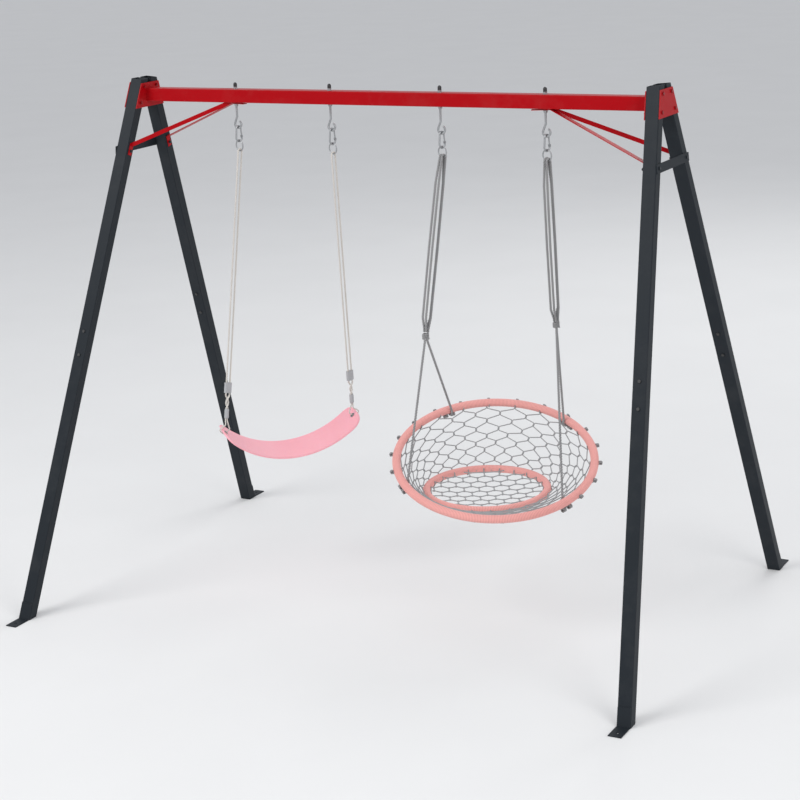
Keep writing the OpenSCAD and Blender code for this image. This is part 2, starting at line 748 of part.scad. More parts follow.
// Along one belt rope: origin "up" above the eyelet, +Z up the rope, +X across the strands.
module on_rope(i, up) {
    u = rope_dir(i);
    at = hang_point(i) + (rope_len(i) - up) * u;
    tip = acos(-u[2]);
    head = atan2(-u[1], -u[0]);
    v = rope_side(u);
    // Turn about the rope that brings X onto the strands' side direction.
    x0 = [cos(head) * cos(tip), sin(head) * cos(tip), -sin(tip)];
    y0 = [-sin(head), cos(head), 0];
    translate(at) rotate([0, tip, head]) rotate([0, 0, atan2(v * y0, v * x0)]) children();
}

module belt_adjuster(i) {
    color(grey) on_rope(i, adjuster_up) difference() {
        translate([0, 0, -adjuster_l / 2]) linear_extrude(adjuster_l)
            rounded_rect(belt_strand_gap + belt_rope_dia + 7, adjuster_t, 4);
        for (k = [-1, 1]) translate([k * belt_strand_gap / 2, 0, -adjuster_l])
            cylinder(d = belt_rope_dia + 2 * hang_gap, h = 2 * adjuster_l);
    }
}

module belt_ferrules() {
    color(grey) for (i = [0, 1]) on_rope(i, ferrule_up) {
        cylinder(d = ferrule_dia, h = ferrule_l - 12, center = true);
        for (k = [-1, 1]) translate([0, 0, k * (ferrule_l / 2 - 6)])
            mirror([0, 0, k < 0 ? 1 : 0])
                cylinder(d1 = ferrule_dia, d2 = ferrule_dia - 4, h = 6);
    }
}

// The belt's own frame: X along the chord, origin midway between the eyelets.
module in_belt() { translate(belt_mid) rotate([0, 0, belt_turn]) rotate([belt_tip, 0, 0]) children(); }

module at_eyelet(s) {
    translate([0, 0, belt_radius * cos(belt_angle)]) rotate([0, -s * belt_angle, 0])
        translate([0, 0, -belt_radius]) children();
}

module belt_seat() {
    half = (belt_angle + end_angle);
    length = 2 * belt_radius * sin(half);
    color(pink) in_belt() difference() {
        intersection() {
            translate([0, 0, belt_radius * cos(belt_angle)]) rotate([90, 0, 0])
                rotate_extrude(start = 270 - half, angle = 2 * half)
                    translate([belt_radius - belt_t / 2, -belt_w / 2]) square([belt_t, belt_w]);
            translate([0, 0, -belt_radius]) linear_extrude(2 * belt_radius)
                rounded_rect(length, belt_w, belt_end_r);
        }
        for (s = SIDES) at_eyelet(s)
            cylinder(r = eyelet_r + eyelet_wall + 0.05, h = 4 * belt_t, center = true);
    }
}

module belt_eyelets() {
    color(zinc) in_belt() for (s = SIDES) at_eyelet(s) difference() {
        union() {
            cylinder(r = eyelet_r + eyelet_wall, h = belt_t + 2 * eyelet_lip, center = true);
            for (k = [-1, 1]) translate([0, 0, k * (belt_t / 2 + eyelet_lip / 2 + 0.15)])
                cylinder(r = eyelet_r + eyelet_flange, h = eyelet_lip - 0.3, center = true);
        }
        cylinder(r = eyelet_r, h = 3 * belt_t, center = true);
    }
}

// ---- Net swing ----

// One hank: two long loops from the ring to the knot, one inside the other.
module hank(i) {
    s = i == 2 ? LEFT : RIGHT;
    top = hang_point(i);
    u = unit(knot_at(s) - top);
    v = rope_side(u);
    n = cross(u, v);
    r = nest_rope_dia / 2;
    length = norm(knot_at(s) - top);
    for (loop = [[14, 1], [22, -1]])
        swept(over_ring(top + loop[1] * (r + 0.3) * n, u, v, r + ring_dia / 2 + 2, r, nest_lift,
                        [[length - knot_dia / 2 - hang_gap, r + 0.5], [length - knot_dia / 2 - 12, r + 0.5],
                         [length - 80, loop[0]], [length / 2, loop[0] + 2], [110, loop[0]]]),
              n, r, 8);
}

module nest_upper_ropes() { color(grey) for (i = [2, 3]) hank(i); }
module nest_rope_knots() { color(grey) for (s = SIDES) translate(knot_at(s)) sphere(d = knot_dia); }

module nest_lower_ropes() {
    color(grey) for (a = rope_angles) difference() {
        k = knot_at(a[1]);
        end = ring_point(nest_mid, nest_r, nest_tilt, a[0]);
        d = unit(end - k);
        rod(k + (knot_dia / 2 + hang_gap) * d, end, nest_rope_dia / 2);
        in_ring(nest_mid, nest_tilt) torus(nest_r, nest_tube + 2 * net_gap);
    }
}

// A ring frame: X to its right, -Y to its low front, Z its own axis.
module in_ring(c, tilt) { translate(c) rotate([0, 0, nest_turn]) rotate([tilt, 0, 0]) children(); }

module torus(r, tube) { rotate_extrude() translate([r, 0]) circle(d = tube); }

module nest_outer_ring() { color(salmon) in_ring(nest_mid, nest_tilt) torus(nest_r, nest_tube); }
module nest_floor_ring() { color(salmon) in_ring(floor_mid, floor_tilt) torus(floor_r, floor_tube); }

module nest_floor_net() {
    color(grey) in_ring(floor_mid, floor_tilt)
        cylinder(r = floor_r - floor_tube / 2 - net_gap, h = net_t, center = true);
}

// The sloping wall between the two rings, a thin skin that ends at both ring covers.
module nest_wall_net() {
    function outer(a) = ring_point(nest_mid, nest_r, nest_tilt, a);
    function inner(a) = ring_point(floor_mid, floor_r, floor_tilt, a);
    function down(a) = unit(inner(a) - outer(a));
    function along(a, tilt) = ring_point([0, 0, 0], 1, tilt, a + 90);
    // How far the edge lies down the wall so that it just clears a tube of that diameter.
    function inset(tube, a, tilt) = (tube / 2 + net_gap) / norm(cross(down(a), along(a, tilt)));
    points = [for (k = [0:wall_steps - 1]) let (
                  a = 360 * k / wall_steps, d = down(a),
                  n = unit(cross(d, along(a, nest_tilt))) * net_t / 2,
                  top = outer(a) + inset(nest_tube, a, nest_tilt) * d,
                  low = inner(a) - inset(floor_tube, a, floor_tilt) * d)
              each [top - n, top + n, low + n, low - n]];
    // The two skins are split along the same diagonals, so that the wall keeps its thickness.
    faces = [for (k = [0:wall_steps - 1]) let (p = 4 * k, q = 4 * ((k + 1) % wall_steps))
             each [[p, p + 1, q], [p + 1, q + 1, q], [p + 1, p + 2, q + 1], [p + 2, q + 2, q + 1],
                   [p + 2, p + 3, q + 2], [p + 3, q + 3, q + 2], [p + 3, p, q], [p + 3, q, q + 3]]];
    color(grey) polyhedron(points, faces, convexity = 6);
}

module nest_ring_knots() {
    color(grey) in_ring(nest_mid, nest_tilt) for (k = [0:ring_knots - 1]) let (a = (k + 0.5) * 360 / ring_knots)
        rotate([0, 0, a]) translate([nest_r, 0, 0]) rotate([0, a > 200 && a < 310 ? knot_under : 0, 0])
            translate([nest_tube / 2 + knot_bead_r + net_gap, 0, 0]) sphere(knot_bead_r);
}

beam();
end_plate(LEFT, -leg_w / 2 - plate_t);  // end_plate_inner_left
end_plate(RIGHT, -leg_w / 2 - plate_t);  // end_plate_inner_right
end_plate(LEFT, leg_w / 2);  // end_plate_outer_left
end_plate(RIGHT, leg_w / 2);  // end_plate_outer_right
leg_upper(LEFT, FRONT);  // leg_upper_front_left
leg_upper(LEFT, BACK);  // leg_upper_back_left
leg_upper(RIGHT, FRONT);  // leg_upper_front_right
leg_upper(RIGHT, BACK);  // leg_upper_back_right
leg_lower(LEFT, FRONT);  // leg_lower_front_left
leg_lower(LEFT, BACK);  // leg_lower_back_left
leg_lower(RIGHT, FRONT);  // leg_lower_front_right
leg_lower(RIGHT, BACK);  // leg_lower_back_right
leg_sleeves();
foot_bracket(LEFT, FRONT);  // foot_bracket_front_left
foot_bracket(LEFT, BACK);  // foot_bracket_back_left
foot_bracket(RIGHT, FRONT);  // foot_bracket_front_right
foot_bracket(RIGHT, BACK);  // foot_bracket_back_right
spreader(LEFT);  // spreader_left
spreader(RIGHT);  // spreader_right
brace(LEFT, FRONT);  // brace_front_left
brace(LEFT, BACK);  // brace_back_left
brace(RIGHT, FRONT);  // brace_front_right
brace(RIGHT, BACK);  // brace_back_right
frame_bolts();
frame_nuts();
splice_bolts();
splice_nuts();
hook(0);  // hook_belt_left
hook(1);  // hook_belt_right
hook(2);  // hook_nest_left
hook(3);  // hook_nest_right
hook_nuts();
hook_washers();
hook_caps();
snap_link(0);  // snap_link_belt_left
snap_link(1);  // snap_link_belt_right
snap_link(2);  // snap_link_nest_left
snap_link(3);  // snap_link_nest_right
snap_gate(0);  // snap_gate_belt_left
snap_gate(1);  // snap_gate_belt_right
snap_gate(2);  // snap_gate_nest_left
snap_gate(3);  // snap_gate_nest_right
belt_rings();
nest_rings();
belt_rope(0);  // belt_rope_left
belt_rope(1);  // belt_rope_right
belt_adjuster(0);  // belt_adjuster_left
belt_adjuster(1);  // belt_adjuster_right
belt_ferrules();
belt_seat();
belt_eyelets();
nest_upper_ropes();
nest_rope_knots();
nest_lower_ropes();
nest_outer_ring();
nest_floor_ring();
nest_wall_net();
nest_floor_net();
nest_ring_knots();
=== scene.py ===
"""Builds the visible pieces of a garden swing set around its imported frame: paint, plating, laid ropes,
a moulded belt seat and a knotted net seat with wound ring covers."""

import json
from math import acos, asin, atan2, ceil, cos, degrees, hypot, pi, radians, sin, tau

import bmesh
import bpy
from bpy.props import FloatProperty, FloatVectorProperty, IntProperty, PointerProperty
from mathutils import Matrix, Vector, noise


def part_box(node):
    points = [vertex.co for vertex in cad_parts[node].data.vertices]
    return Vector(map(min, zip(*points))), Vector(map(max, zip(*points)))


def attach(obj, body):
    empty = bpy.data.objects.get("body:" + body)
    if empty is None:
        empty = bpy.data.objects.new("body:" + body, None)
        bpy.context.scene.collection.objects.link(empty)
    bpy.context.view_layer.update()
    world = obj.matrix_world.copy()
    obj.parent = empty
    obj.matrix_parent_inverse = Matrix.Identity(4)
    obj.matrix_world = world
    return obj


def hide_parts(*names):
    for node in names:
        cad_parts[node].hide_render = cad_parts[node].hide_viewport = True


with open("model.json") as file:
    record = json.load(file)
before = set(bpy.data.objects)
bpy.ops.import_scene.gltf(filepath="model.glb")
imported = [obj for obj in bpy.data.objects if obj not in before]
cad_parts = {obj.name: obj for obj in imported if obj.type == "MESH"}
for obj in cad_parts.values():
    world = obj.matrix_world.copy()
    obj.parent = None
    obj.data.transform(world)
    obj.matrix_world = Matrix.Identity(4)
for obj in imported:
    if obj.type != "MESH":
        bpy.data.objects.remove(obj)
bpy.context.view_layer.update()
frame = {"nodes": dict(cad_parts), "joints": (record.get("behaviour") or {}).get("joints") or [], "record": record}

bl_info = {
    "name": "Swing Set",
    "version": (1, 0, 0),
    "blender": (4, 5, 0),
    "location": "View3D > Sidebar > Swing Set",
    "description": "Builds the visible pieces of a garden swing set around its frame",
    "category": "Add Mesh",
}

JOINTS = {joint["name"]: joint for joint in frame["joints"]}
UP = Vector((0, 0, 1))
ALONG_BEAM = Vector((1, 0, 0))


# ---- Where things are, from the frame ----

def joint_place(name):
    return Vector(JOINTS[name]["pos_m"])


def joint_axis(name):
    return Vector(JOINTS[name]["axis"])


def box_middle(node):
    low, high = (Vector(corner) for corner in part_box(node))
    return (low + high) / 2


PIVOT_Z = joint_place("belt_swing").z
HOOKS = ("belt_left", "belt_right", "nest_left", "nest_right")
EYE_X = {hook: box_middle("hook_" + hook).x for hook in HOOKS}
LINK_AXIS = joint_axis("snap_gate_belt_left")
STRAND_AXIS = UP.cross(LINK_AXIS)


def linear(red, green, blue):
    """A colour named by its usual 0 to 255 numbers, as the linear values that Blender's colours hold."""
    def one(level):
        share = level / 255
        return share / 12.92 if share <= 0.04045 else ((share + 0.055) / 1.055) ** 2.4
    return one(red), one(green), one(blue)


def colour(name, description, red, green, blue):
    return FloatVectorProperty(
        name=name, description=description, subtype="COLOR", default=linear(red, green, blue), min=0, max=1
    )


def length(name, description, default):
    return FloatProperty(name=name, description=description, default=default, min=0, unit="LENGTH")


def angle(name, description, default):
    return FloatProperty(name=name, description=description, default=radians(default), subtype="ANGLE")


class SwingColours(bpy.types.PropertyGroup):
    red: colour("Red paint", "Beam, end plates and braces", 168, 0, 12)
    charcoal: colour("Charcoal paint", "Legs, spreaders and feet", 36, 41, 46)
    zinc: colour("Zinc", "Hooks, links, rings and bolts", 176, 178, 180)
    black: colour("Black", "Caps and splice bolts", 22, 22, 24)
    cream: colour("Cream rope", "Ropes of the belt swing", 238, 234, 226)
    grey: colour("Grey rope", "Ropes and net of the net swing", 160, 161, 162)
    fitting: colour("Grey plastic", "Ferrules and rope adjusters", 172, 173, 175)
    seat: colour("Belt seat", "The moulded belt", 250, 172, 183)
    cover: colour("Ring cover", "Wound cover of the net seat's rings", 252, 172, 164)


class SwingRopes(bpy.types.PropertyGroup):
    belt_rope: length("Belt rope", "Diameter of the belt swing's rope", 0.009)
    belt_gap: length("Strand gap", "Distance between the belt rope's two strands", 0.020)
    loop_rope: length("Loop rope", "Diameter of the lower loop", 0.007)
    ferrule_up: length("Ferrule height", "From the eyelet up to the ferrule's middle", 0.092)
    ferrule_long: length("Ferrule length", "Length of the ferrule", 0.046)
    adjuster_up: length("Adjuster height", "From the eyelet up to the adjuster's middle", 0.215)
    adjuster_long: length("Adjuster length", "Length of the adjuster", 0.048)
    nest_rope: length("Net swing rope", "Diameter of the net swing's rope", 0.012)
    knot: length("Rope knot", "Diameter of the knots above the net seat", 0.034)
    lay: length("Lay", "Length of one turn of the rope's strands", 0.036)


class SwingBelt(bpy.types.PropertyGroup):
    span: length("Span", "Distance between the eyelets", 0.632)
    sag: length("Sag", "Drop of the middle below the eyelets", 0.134)
    width: length("Width", "Width of the belt", 0.175)
    thickness: length("Thickness", "Thickness of the belt's edge", 0.008)
    end: length("End", "Length of belt beyond an eyelet", 0.026)
    corner: length("Corner", "Corner radius of the belt's ends", 0.058)
    eyelet: length("Eyelet", "Radius of the hole that takes the eyelet", 0.0095)
    tip: angle("Tip", "Tip of the belt about its eyelets, near edge down", 12)


class SwingNet(bpy.types.PropertyGroup):
    ring: length("Outer ring", "Radius of the outer ring, to the middle of its tube", 0.446)
    tube: length("Outer tube", "Diameter of the outer ring's cover", 0.038)
    floor_ring: length("Floor ring", "Radius of the floor ring, to the middle of its tube", 0.273)
    floor_tube: length("Floor tube", "Diameter of the floor ring's cover", 0.036)
    turn: angle("Turn", "Turn of the seat about the vertical", 29)
    tilt: angle("Tilt", "Forward tilt of the outer ring", 19)
    floor_tilt: angle("Floor tilt", "Forward tilt of the floor ring", 2)
    cord: length("Net cord", "Diameter of the net's cord", 0.005)
    wrap: length("Cover cord", "Pitch of the cover's windings", 0.0066)
    knots: IntProperty(name="Knots", description="Cord knots round the outer ring", default=22, min=6)
    rows: IntProperty(name="Rows", description="Rows of knots in the wall net", default=7, min=2)


class SwingStage(bpy.types.PropertyGroup):
    eye: FloatVectorProperty(
        name="Camera", description="Where the camera stands", default=(4.1486, -7.4748, 3.2815), unit="LENGTH"
    )
    yaw: angle("Yaw", "Turn of the view to the left of +Y", 28.9)
    pitch: angle("Pitch", "Downward pitch of the view", 15.3)
    roll: angle("Roll", "Roll of the camera", -2.5)
    lens: FloatProperty(name="Lens", description="Focal length in millimetres", default=86.78, min=1)


SETTINGS = {
    "swing_colours": SwingColours,
    "swing_ropes": SwingRopes,
    "swing_belt": SwingBelt,
    "swing_net": SwingNet,
    "swing_stage": SwingStage,
}


# ---- Shader maths ----

class Wire:
    """A shader socket. Used in an expression, it adds the Math nodes."""

    def __init__(self, finish, socket):
        self.finish = finish
        self.socket = socket

    def math(self, operation, other, swapped=False):
        pair = (other, self) if swapped else (self, other)
        return self.finish.node("Math", {"operation": operation}, {0: pair[0], 1: pair[1]})

    def __add__(self, other):
        return self.math("ADD", other)

    def __rsub__(self, other):
        return self.math("SUBTRACT", other, swapped=True)

    def __mul__(self, other):
        return self.math("MULTIPLY", other)

    __radd__ = __add__
    __rmul__ = __mul__


class Finish:
    """A material on the Principled shader, whose number inputs are set once and never linked."""

    def __init__(self, name, **fixed):
        self.material = bpy.data.materials.new(name)
        self.material.use_nodes = True
        self.tree = self.material.node_tree
        self.surface = self.tree.nodes["Principled BSDF"]
        for socket, value in fixed.items():
            self.surface.inputs[socket.replace("_", " ")].default_value = value

    def node(self, kind, settings=None, inputs=None, output=0):
        """Adds a node: its settings first, then the values or links of its sockets."""
        made = self.tree.nodes.new("ShaderNode" + kind)
        for key, value in (settings or {}).items():
            if key == "stops":
                self.set_stops(made.color_ramp, value)
            else:
                setattr(made, key, value)
        for key, value in (inputs or {}).items():
            self.join(value, made.inputs[key])
        return Wire(self, made.outputs[output])

    def set_stops(self, ramp, stops):
        while len(ramp.elements) < len(stops):
            ramp.elements.new(0.5)
        for element, (place, level) in zip(ramp.elements, stops):
            element.position = place
            element.color = (level, level, level, 1)

    def join(self, value, socket):
        if isinstance(value, Wire):
            self.tree.links.new(value.socket, socket)
        else:
            socket.default_value = value

    def where(self):
        return self.node("TexCoord", output="Object")

    def noise(self, scale, detail=4.0, roughness=0.55, place=None):
        return self.node("TexNoise", inputs={
            "Vector": place or self.where(), "Scale": scale, "Detail": detail, "Roughness": roughness,
        })

    def stretched(self, scale):
        return self.node("Mapping", inputs={"Vector": self.where(), "Scale": scale})

    def ramp(self, value, *stops):
        return self.node("ValToRGB", {"stops": stops}, {"Fac": value})

    def blend(self, share, first, second):
        """Mixes two colours, each a tuple of three or a socket, by the share of the second."""
        first, second = ((*c, 1) if isinstance(c, tuple) and len(c) == 3 else c for c in (first, second))
        return self.node("Mix", {"data_type": "RGBA"}, {0: share, 6: first, 7: second}, 2)

    def paint(self, base=None, rough=None, height=None, strength=0.2, depth=0.001, metal=None):
        for socket, value in (("Base Color", base), ("Roughness", rough), ("Metallic", metal)):
            if value is not None:
                self.join((*value, 1) if isinstance(value, tuple) else value, self.surface.inputs[socket])
        if height is not None:
            bump = self.node("Bump", inputs={"Height": height, "Strength": strength, "Distance": depth})
            self.join(bump, self.surface.inputs["Normal"])
        return self.material


def darker(shade, share):
    return tuple(channel * share for channel in shade)


def paler(shade, share):
    return tuple(channel + (1 - channel) * share for channel in shade)


def powder_coat(name, shade, gloss):
    """Stoved powder: a fine orange peel, faint cloudiness, and dust that dulls it in patches."""
    finish = Finish(name, Coat_Weight=0.04, Coat_Roughness=0.22, Specular_IOR_Level=0.10)
    peel = finish.noise(900, 2, 0.5)
    cloud = finish.noise(2.2, 5, 0.6)
    speck = finish.ramp(finish.noise(420, 3, 0.7), (0.62, 0.0), (0.72, 1.0))
    dust = finish.ramp(finish.noise(7, 6, 0.68), (0.48, 0.0), (0.78, 1.0))
    base = finish.blend(cloud, darker(shade, 0.88), darker(shade, 1.06))
    base = finish.blend(speck * 0.08, base, paler(shade, 0.12))
    base = finish.blend(dust * 0.02, base, (0.62, 0.6, 0.56))
    return finish.paint(base, dust * 0.16 + cloud * 0.08 + gloss, peel + speck * 0.4, 0.12, 0.0004)


def painted_bolts(name, upper, lower):
    """Bolts painted with what they hold: one colour on the beam's plates, the other below."""
    finish = Finish(name, Specular_IOR_Level=0.4)
    height = finish.node("SeparateXYZ", inputs={0: finish.where()}, output=2)
    chips = finish.ramp(finish.noise(500, 5, 0.7), (0.6, 0.0), (0.68, 1.0))
    base = finish.blend(height.math("GREATER_THAN", 2.2), lower, darker(upper, 0.62))
    base = finish.blend(chips * 0.35, base, (0.3, 0.3, 0.3))
    return finish.paint(base, chips * 0.1 + 0.36, finish.noise(900, 2, 0.5), 0.12, 0.0003)


def plated(name, shade):
    """Zinc plating: dull metal with a soft spangle, grey bloom and fine drawing marks."""
    finish = Finish(name, Specular_IOR_Level=0.5)
    spangle = finish.node("TexVoronoi", {"feature": "SMOOTH_F1"}, {"Vector": finish.where(), "Scale": 260.0})
    bloom = finish.ramp(finish.noise(90, 6, 0.7), (0.38, 0.0), (0.72, 1.0))
    marks = finish.noise(1400, 3, 0.6)
    base = finish.blend(spangle, darker(shade, 0.78), paler(shade, 0.12))
    base = finish.blend(bloom * 0.55, base, darker(shade, 0.62))
    rough = bloom * 0.22 + spangle * 0.12 + 0.3
    return finish.paint(base, rough, marks + spangle, 0.15, 0.0003, 1.0 - bloom * 0.4)


def moulded(name, shade, rough):
    """Moulded plastic: a fine spark-eroded grain and slight flow marks."""
    finish = Finish(name, Specular_IOR_Level=0.4)
    grain = finish.noise(2600, 2, 0.5)
    flow = finish.noise(30, 4, 0.6, finish.stretched((1, 1, 0.25)))
    base = finish.blend(flow, darker(shade, 0.9), paler(shade, 0.05))
    return finish.paint(base, flow * 0.12 + rough, grain, 0.1, 0.0003)


def rope_fibre(name, shade, soil):
    """Twisted synthetic fibre: fine yarns across the strands, soft sheen, light soiling and painted shade in the
    grooves between the strands.
    """
    finish = Finish(name, Sheen_Weight=0.25, Sheen_Roughness=0.5, Specular_IOR_Level=0.25)
    yarn = finish.noise(1500, 5, 0.7)
    fuzz = finish.noise(520, 4, 0.6)
    dirt = finish.ramp(finish.noise(14, 6, 0.65), (0.42, 0.0), (0.8, 1.0))
    groove = finish.node("Attribute", {"attribute_name": "groove"}, output="Fac")
    base = finish.blend(yarn, darker(shade, 0.74), paler(shade, 0.1))
    base = finish.blend(dirt * soil, base, darker(shade, 0.6))
    # Painted shade: the colour darkens with the depth of the grooves between the rope's strands.
    base = finish.blend(groove * 0.75, base, (shade[0] * 0.45, shade[1] * 0.40, shade[2] * 0.38))
    return finish.paint(base, yarn * 0.15 + 0.72, yarn + fuzz * 0.6, 0.5, 0.0006)


def belt_skin(name, shade):
    """A flexible moulded belt: satin skin, pebbled finely, paler where it is scuffed."""
    finish = Finish(name, Specular_IOR_Level=0.4, Subsurface_Weight=0.06, Subsurface_Scale=0.004)
    pebble = finish.node("TexVoronoi", {"feature": "F1"}, {"Vector": finish.where(), "Scale": 620.0})
    cloud = finish.noise(6, 5, 0.6)
    scuff = finish.ramp(finish.noise(38, 7, 0.72), (0.56, 0.0), (0.74, 1.0))
    base = finish.blend(cloud, darker(shade, 0.93), paler(shade, 0.10))
    base = finish.blend(scuff * 0.25, base, paler(shade, 0.35))
    return finish.paint(base, scuff * 0.18 + cloud * 0.1 + 0.4, pebble + scuff * 0.3, 0.14, 0.0004)


def wound_cover(name, shade):
    """Cord wound round foam: matt fibre, painted shade in the grooves and faded in patches."""
    finish = Finish(name, Sheen_Weight=0.2, Sheen_Roughness=0.5, Specular_IOR_Level=0.25)
    yarn = finish.noise(1300, 4, 0.65)
    fade = finish.noise(5, 5, 0.6)
    groove = finish.node("Attribute", {"attribute_name": "groove"}, output="Fac")
    base = finish.blend(fade, darker(shade, 0.92), paler(shade, 0.12))
    base = finish.blend(yarn * 0.3, base, darker(shade, 0.8))
    # Painted shade: the colour darkens with the depth of the grooves between the windings.
    base = finish.blend(groove * 0.8, base, darker(shade, 0.5))
    return finish.paint(base, yarn * 0.12 + 0.66, yarn, 0.35, 0.0005)


def floor_finish(name):
    finish = Finish(name, Specular_IOR_Level=0.2)
    tone = finish.noise(1.3, 3, 0.5)
    base = finish.blend(tone, (0.80, 0.80, 0.79), (0.84, 0.84, 0.83))
    return finish.paint(base, tone * 0.1 + 0.75)


FINISHES = {}


def make_finishes(colours):
    paints = {name: tuple(getattr(colours, name)) for name in SwingColours.__annotations__}
    FINISHES.update(
        red_paint=powder_coat("red_powder_coat", paints["red"], 0.30),
        charcoal_paint=powder_coat("charcoal_powder_coat", paints["charcoal"], 0.42),
        zinc=plated("zinc_plate", paints["zinc"]),
        bolts=painted_bolts("painted_bolts", paints["red"], paints["charcoal"]),
        black_bolt=moulded("black_oxide", paints["black"], 0.38),
        black_plastic=moulded("black_cap_plastic", paints["black"], 0.35),
        cream_rope=rope_fibre("cream_rope_fibre", paints["cream"], 0.12),
        grey_rope=rope_fibre("grey_rope_fibre", paints["grey"], 0.2),
        grey_plastic=moulded("grey_fitting_plastic", paints["fitting"], 0.42),
        seat_rubber=belt_skin("belt_seat_skin", paints["seat"]),
        ring_cover=wound_cover("wound_ring_cover", paints["cover"]),
    )


# ---- Making pieces ----

def make_piece(name, shape, slot, body, stands_for=(), sharp=35):
    """Turns a bmesh into a piece that rides on a body and may stand for CAD nodes."""
    mesh = bpy.data.meshes.new(name)
    shape.to_mesh(mesh)
    shape.free()
    mesh.shade_smooth()
    if sharp:
        mesh.set_sharp_from_angle(angle=radians(sharp))
    mesh.materials.append(FINISHES[slot])
    made = bpy.data.objects.new(name, mesh)
    bpy.context.collection.objects.link(made)
    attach(made, body)
    if stands_for:
        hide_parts(*stands_for)
    return made


def outline(radius, lobes=1, sides=12, dent=0.0):
    """A section to sweep: a circle, or a rope's section with that many strands."""
    curve = bpy.data.curves.new("section", "CURVE")
    curve.dimensions = "2D"
    spline = curve.splines.new("POLY")
    spline.points.add(sides - 1)
    for index, point in enumerate(spline.points):
        turn = tau * index / sides
        reach = radius * (1 - dent * (0.5 - 0.5 * cos(lobes * turn)))
        point.co = (reach * cos(turn), reach * sin(turn), 0, 1)
    spline.use_cyclic_u = True
    made = bpy.data.objects.new("section", curve)
    bpy.context.collection.objects.link(made)
    return made


def swept(paths, radius, sides, lobes=1, dent=0.0, lay=0.0):
    """One bmesh of tubes along the paths; a rope's section turns once in each lay."""
    section = outline(radius, lobes, sides, dent)
    curve = bpy.data.curves.new("line", "CURVE")
    curve.dimensions = "3D"
    curve.twist_mode = "MINIMUM"
    curve.use_fill_caps = True
    curve.bevel_mode = "OBJECT"
    curve.bevel_object = section
    for path in paths:
        spline = curve.splines.new("POLY")
        spline.points.add(len(path) - 1)
        gone = 0.0
        for index, (point, place) in enumerate(zip(spline.points, path)):
            if index:
                gone += (place - path[index - 1]).length
            point.co = (*place, 1)
            point.tilt = tau * gone / lay if lay else 0.0
    line = bpy.data.objects.new("line", curve)
    bpy.context.collection.objects.link(line)
    mesh = bpy.data.meshes.new_from_object(line.evaluated_get(bpy.context.evaluated_depsgraph_get()))
    shape = bmesh.new()
    shape.from_mesh(mesh)
    # How deep each point lies between the rope's strands, kept for the painted shade in the grooves.
    groove = shape.verts.layers.float.new("groove")
    for index, vert in enumerate(shape.verts):
        vert[groove] = (0.5 - 0.5 * cos(lobes * tau * (index % sides) / sides)) ** 2 if lobes > 1 else 0.0
    bmesh.ops.remove_doubles(shape, verts=shape.verts, dist=1e-6)
    bmesh.ops.recalc_face_normals(shape, faces=shape.faces)
    bpy.data.objects.remove(line)
    bpy.data.objects.remove(section)
    bpy.data.curves.remove(curve)
    bpy.data.meshes.remove(mesh)
    return shape


def even(path, step, ease=0.012):
    """The same path with a point every step or so, its corners rounded within the ease."""
    eased = [path[0]]
    for a, b in zip(path, path[1:]):
        reach = (b - a).length
        if reach > 3 * ease:
            eased += [a.lerp(b, ease / reach), b.lerp(a, ease / reach)]
        eased.append(b)
    ways = [(b - a).normalized() for a, b in zip(eased, eased[1:])]
    slopes = [ways[0], *((a + b).normalized() for a, b in zip(ways, ways[1:])), ways[-1]]
    smooth = []
    for a, b, leave, arrive in zip(eased, eased[1:], slopes, slopes[1:]):
        reach = (b - a).length
        pieces = max(1, ceil(reach / step))
        for t in (index / pieces for index in range(pieces)):
            bow = (t - 2 * t ** 2 + t ** 3) * leave + (t ** 3 - t ** 2) * arrive
            smooth.append(a.lerp(b, 3 * t ** 2 - 2 * t ** 3) + reach * bow)
    smooth.append(eased[-1])
    return smooth


def laid_rope(paths, diameter, lay, step=0.004):
    """Rope of three strands laid up right-handed."""
    return swept([even(path, step) for path in paths], diameter / 2, 12, 3, 0.34, lay)


def cord_tubes(paths, diameter, sides=8):
    return swept(paths, diameter / 2, sides)


def merge(*shapes):
    """Joins several bmeshes into the first."""
    first = shapes[0]
    for other in shapes[1:]:
        mesh = bpy.data.meshes.new("part")
        other.to_mesh(mesh)
        other.free()
        first.from_mesh(mesh)
        bpy.data.meshes.remove(mesh)
    return first


def ball(middle, radius):
    shape = bmesh.new()
    bmesh.ops.create_icosphere(shape, subdivisions=2, radius=radius)
    bmesh.ops.translate(shape, vec=middle, verts=shape.verts)
    return shape


def side_of(along, hint):
    return (hint - along * along.dot(hint)).normalized()


def coil(middle, axis, start, radius, pitch, turns, steps=20):
    """Points round an axis, climbing by the pitch each turn."""
    across = side_of(axis, start)
    over = axis.cross(across)
    count = int(turns * steps)
    return [
        middle + radius * (cos(tau * k / steps) * across + sin(tau * k / steps) * over)
        + axis * pitch * (k / steps - turns / 2)
        for k in range(count + 1)
    ]


# ---- Hooks, links and rings ----

HOOK_EYE_R = 0.017
HOOK_EYE_SHIFT = 0.003
HOOK_SHANK = 0.066
HOOK_ROD_R = 0.005
LINK_ROD_R = 0.004
LINK_TOP_R = 0.012
LINK_LOW_R = 0.016
LINK_REACH = 0.044
RUNNING_GAP = 0.00035
RING_ROD_R = 0.003
GATE_NOSE = 0.005
GATE_PIVOT = 0.008
KNUCKLE_R = 0.0039
KNUCKLE_W = 0.007
CHEEK_T = 0.0012
CHEEK_W = 0.0072
CHEEK_H = GATE_PIVOT + 0.0036
CHEEK_X = KNUCKLE_W / 2 + 0.0003 + CHEEK_T / 2
PIN_R = 0.0015
PIN_LONG = 0.0104
THREAD_PITCH = 0.0015
THREAD_TURNS = 22


def arc(middle, across, over, radius, start, end, pieces):
    return [
        middle + radius * (cos(radians(a)) * across + sin(radians(a)) * over)
        for a in (start + (end - start) * k / pieces for k in range(pieces + 1))
    ]


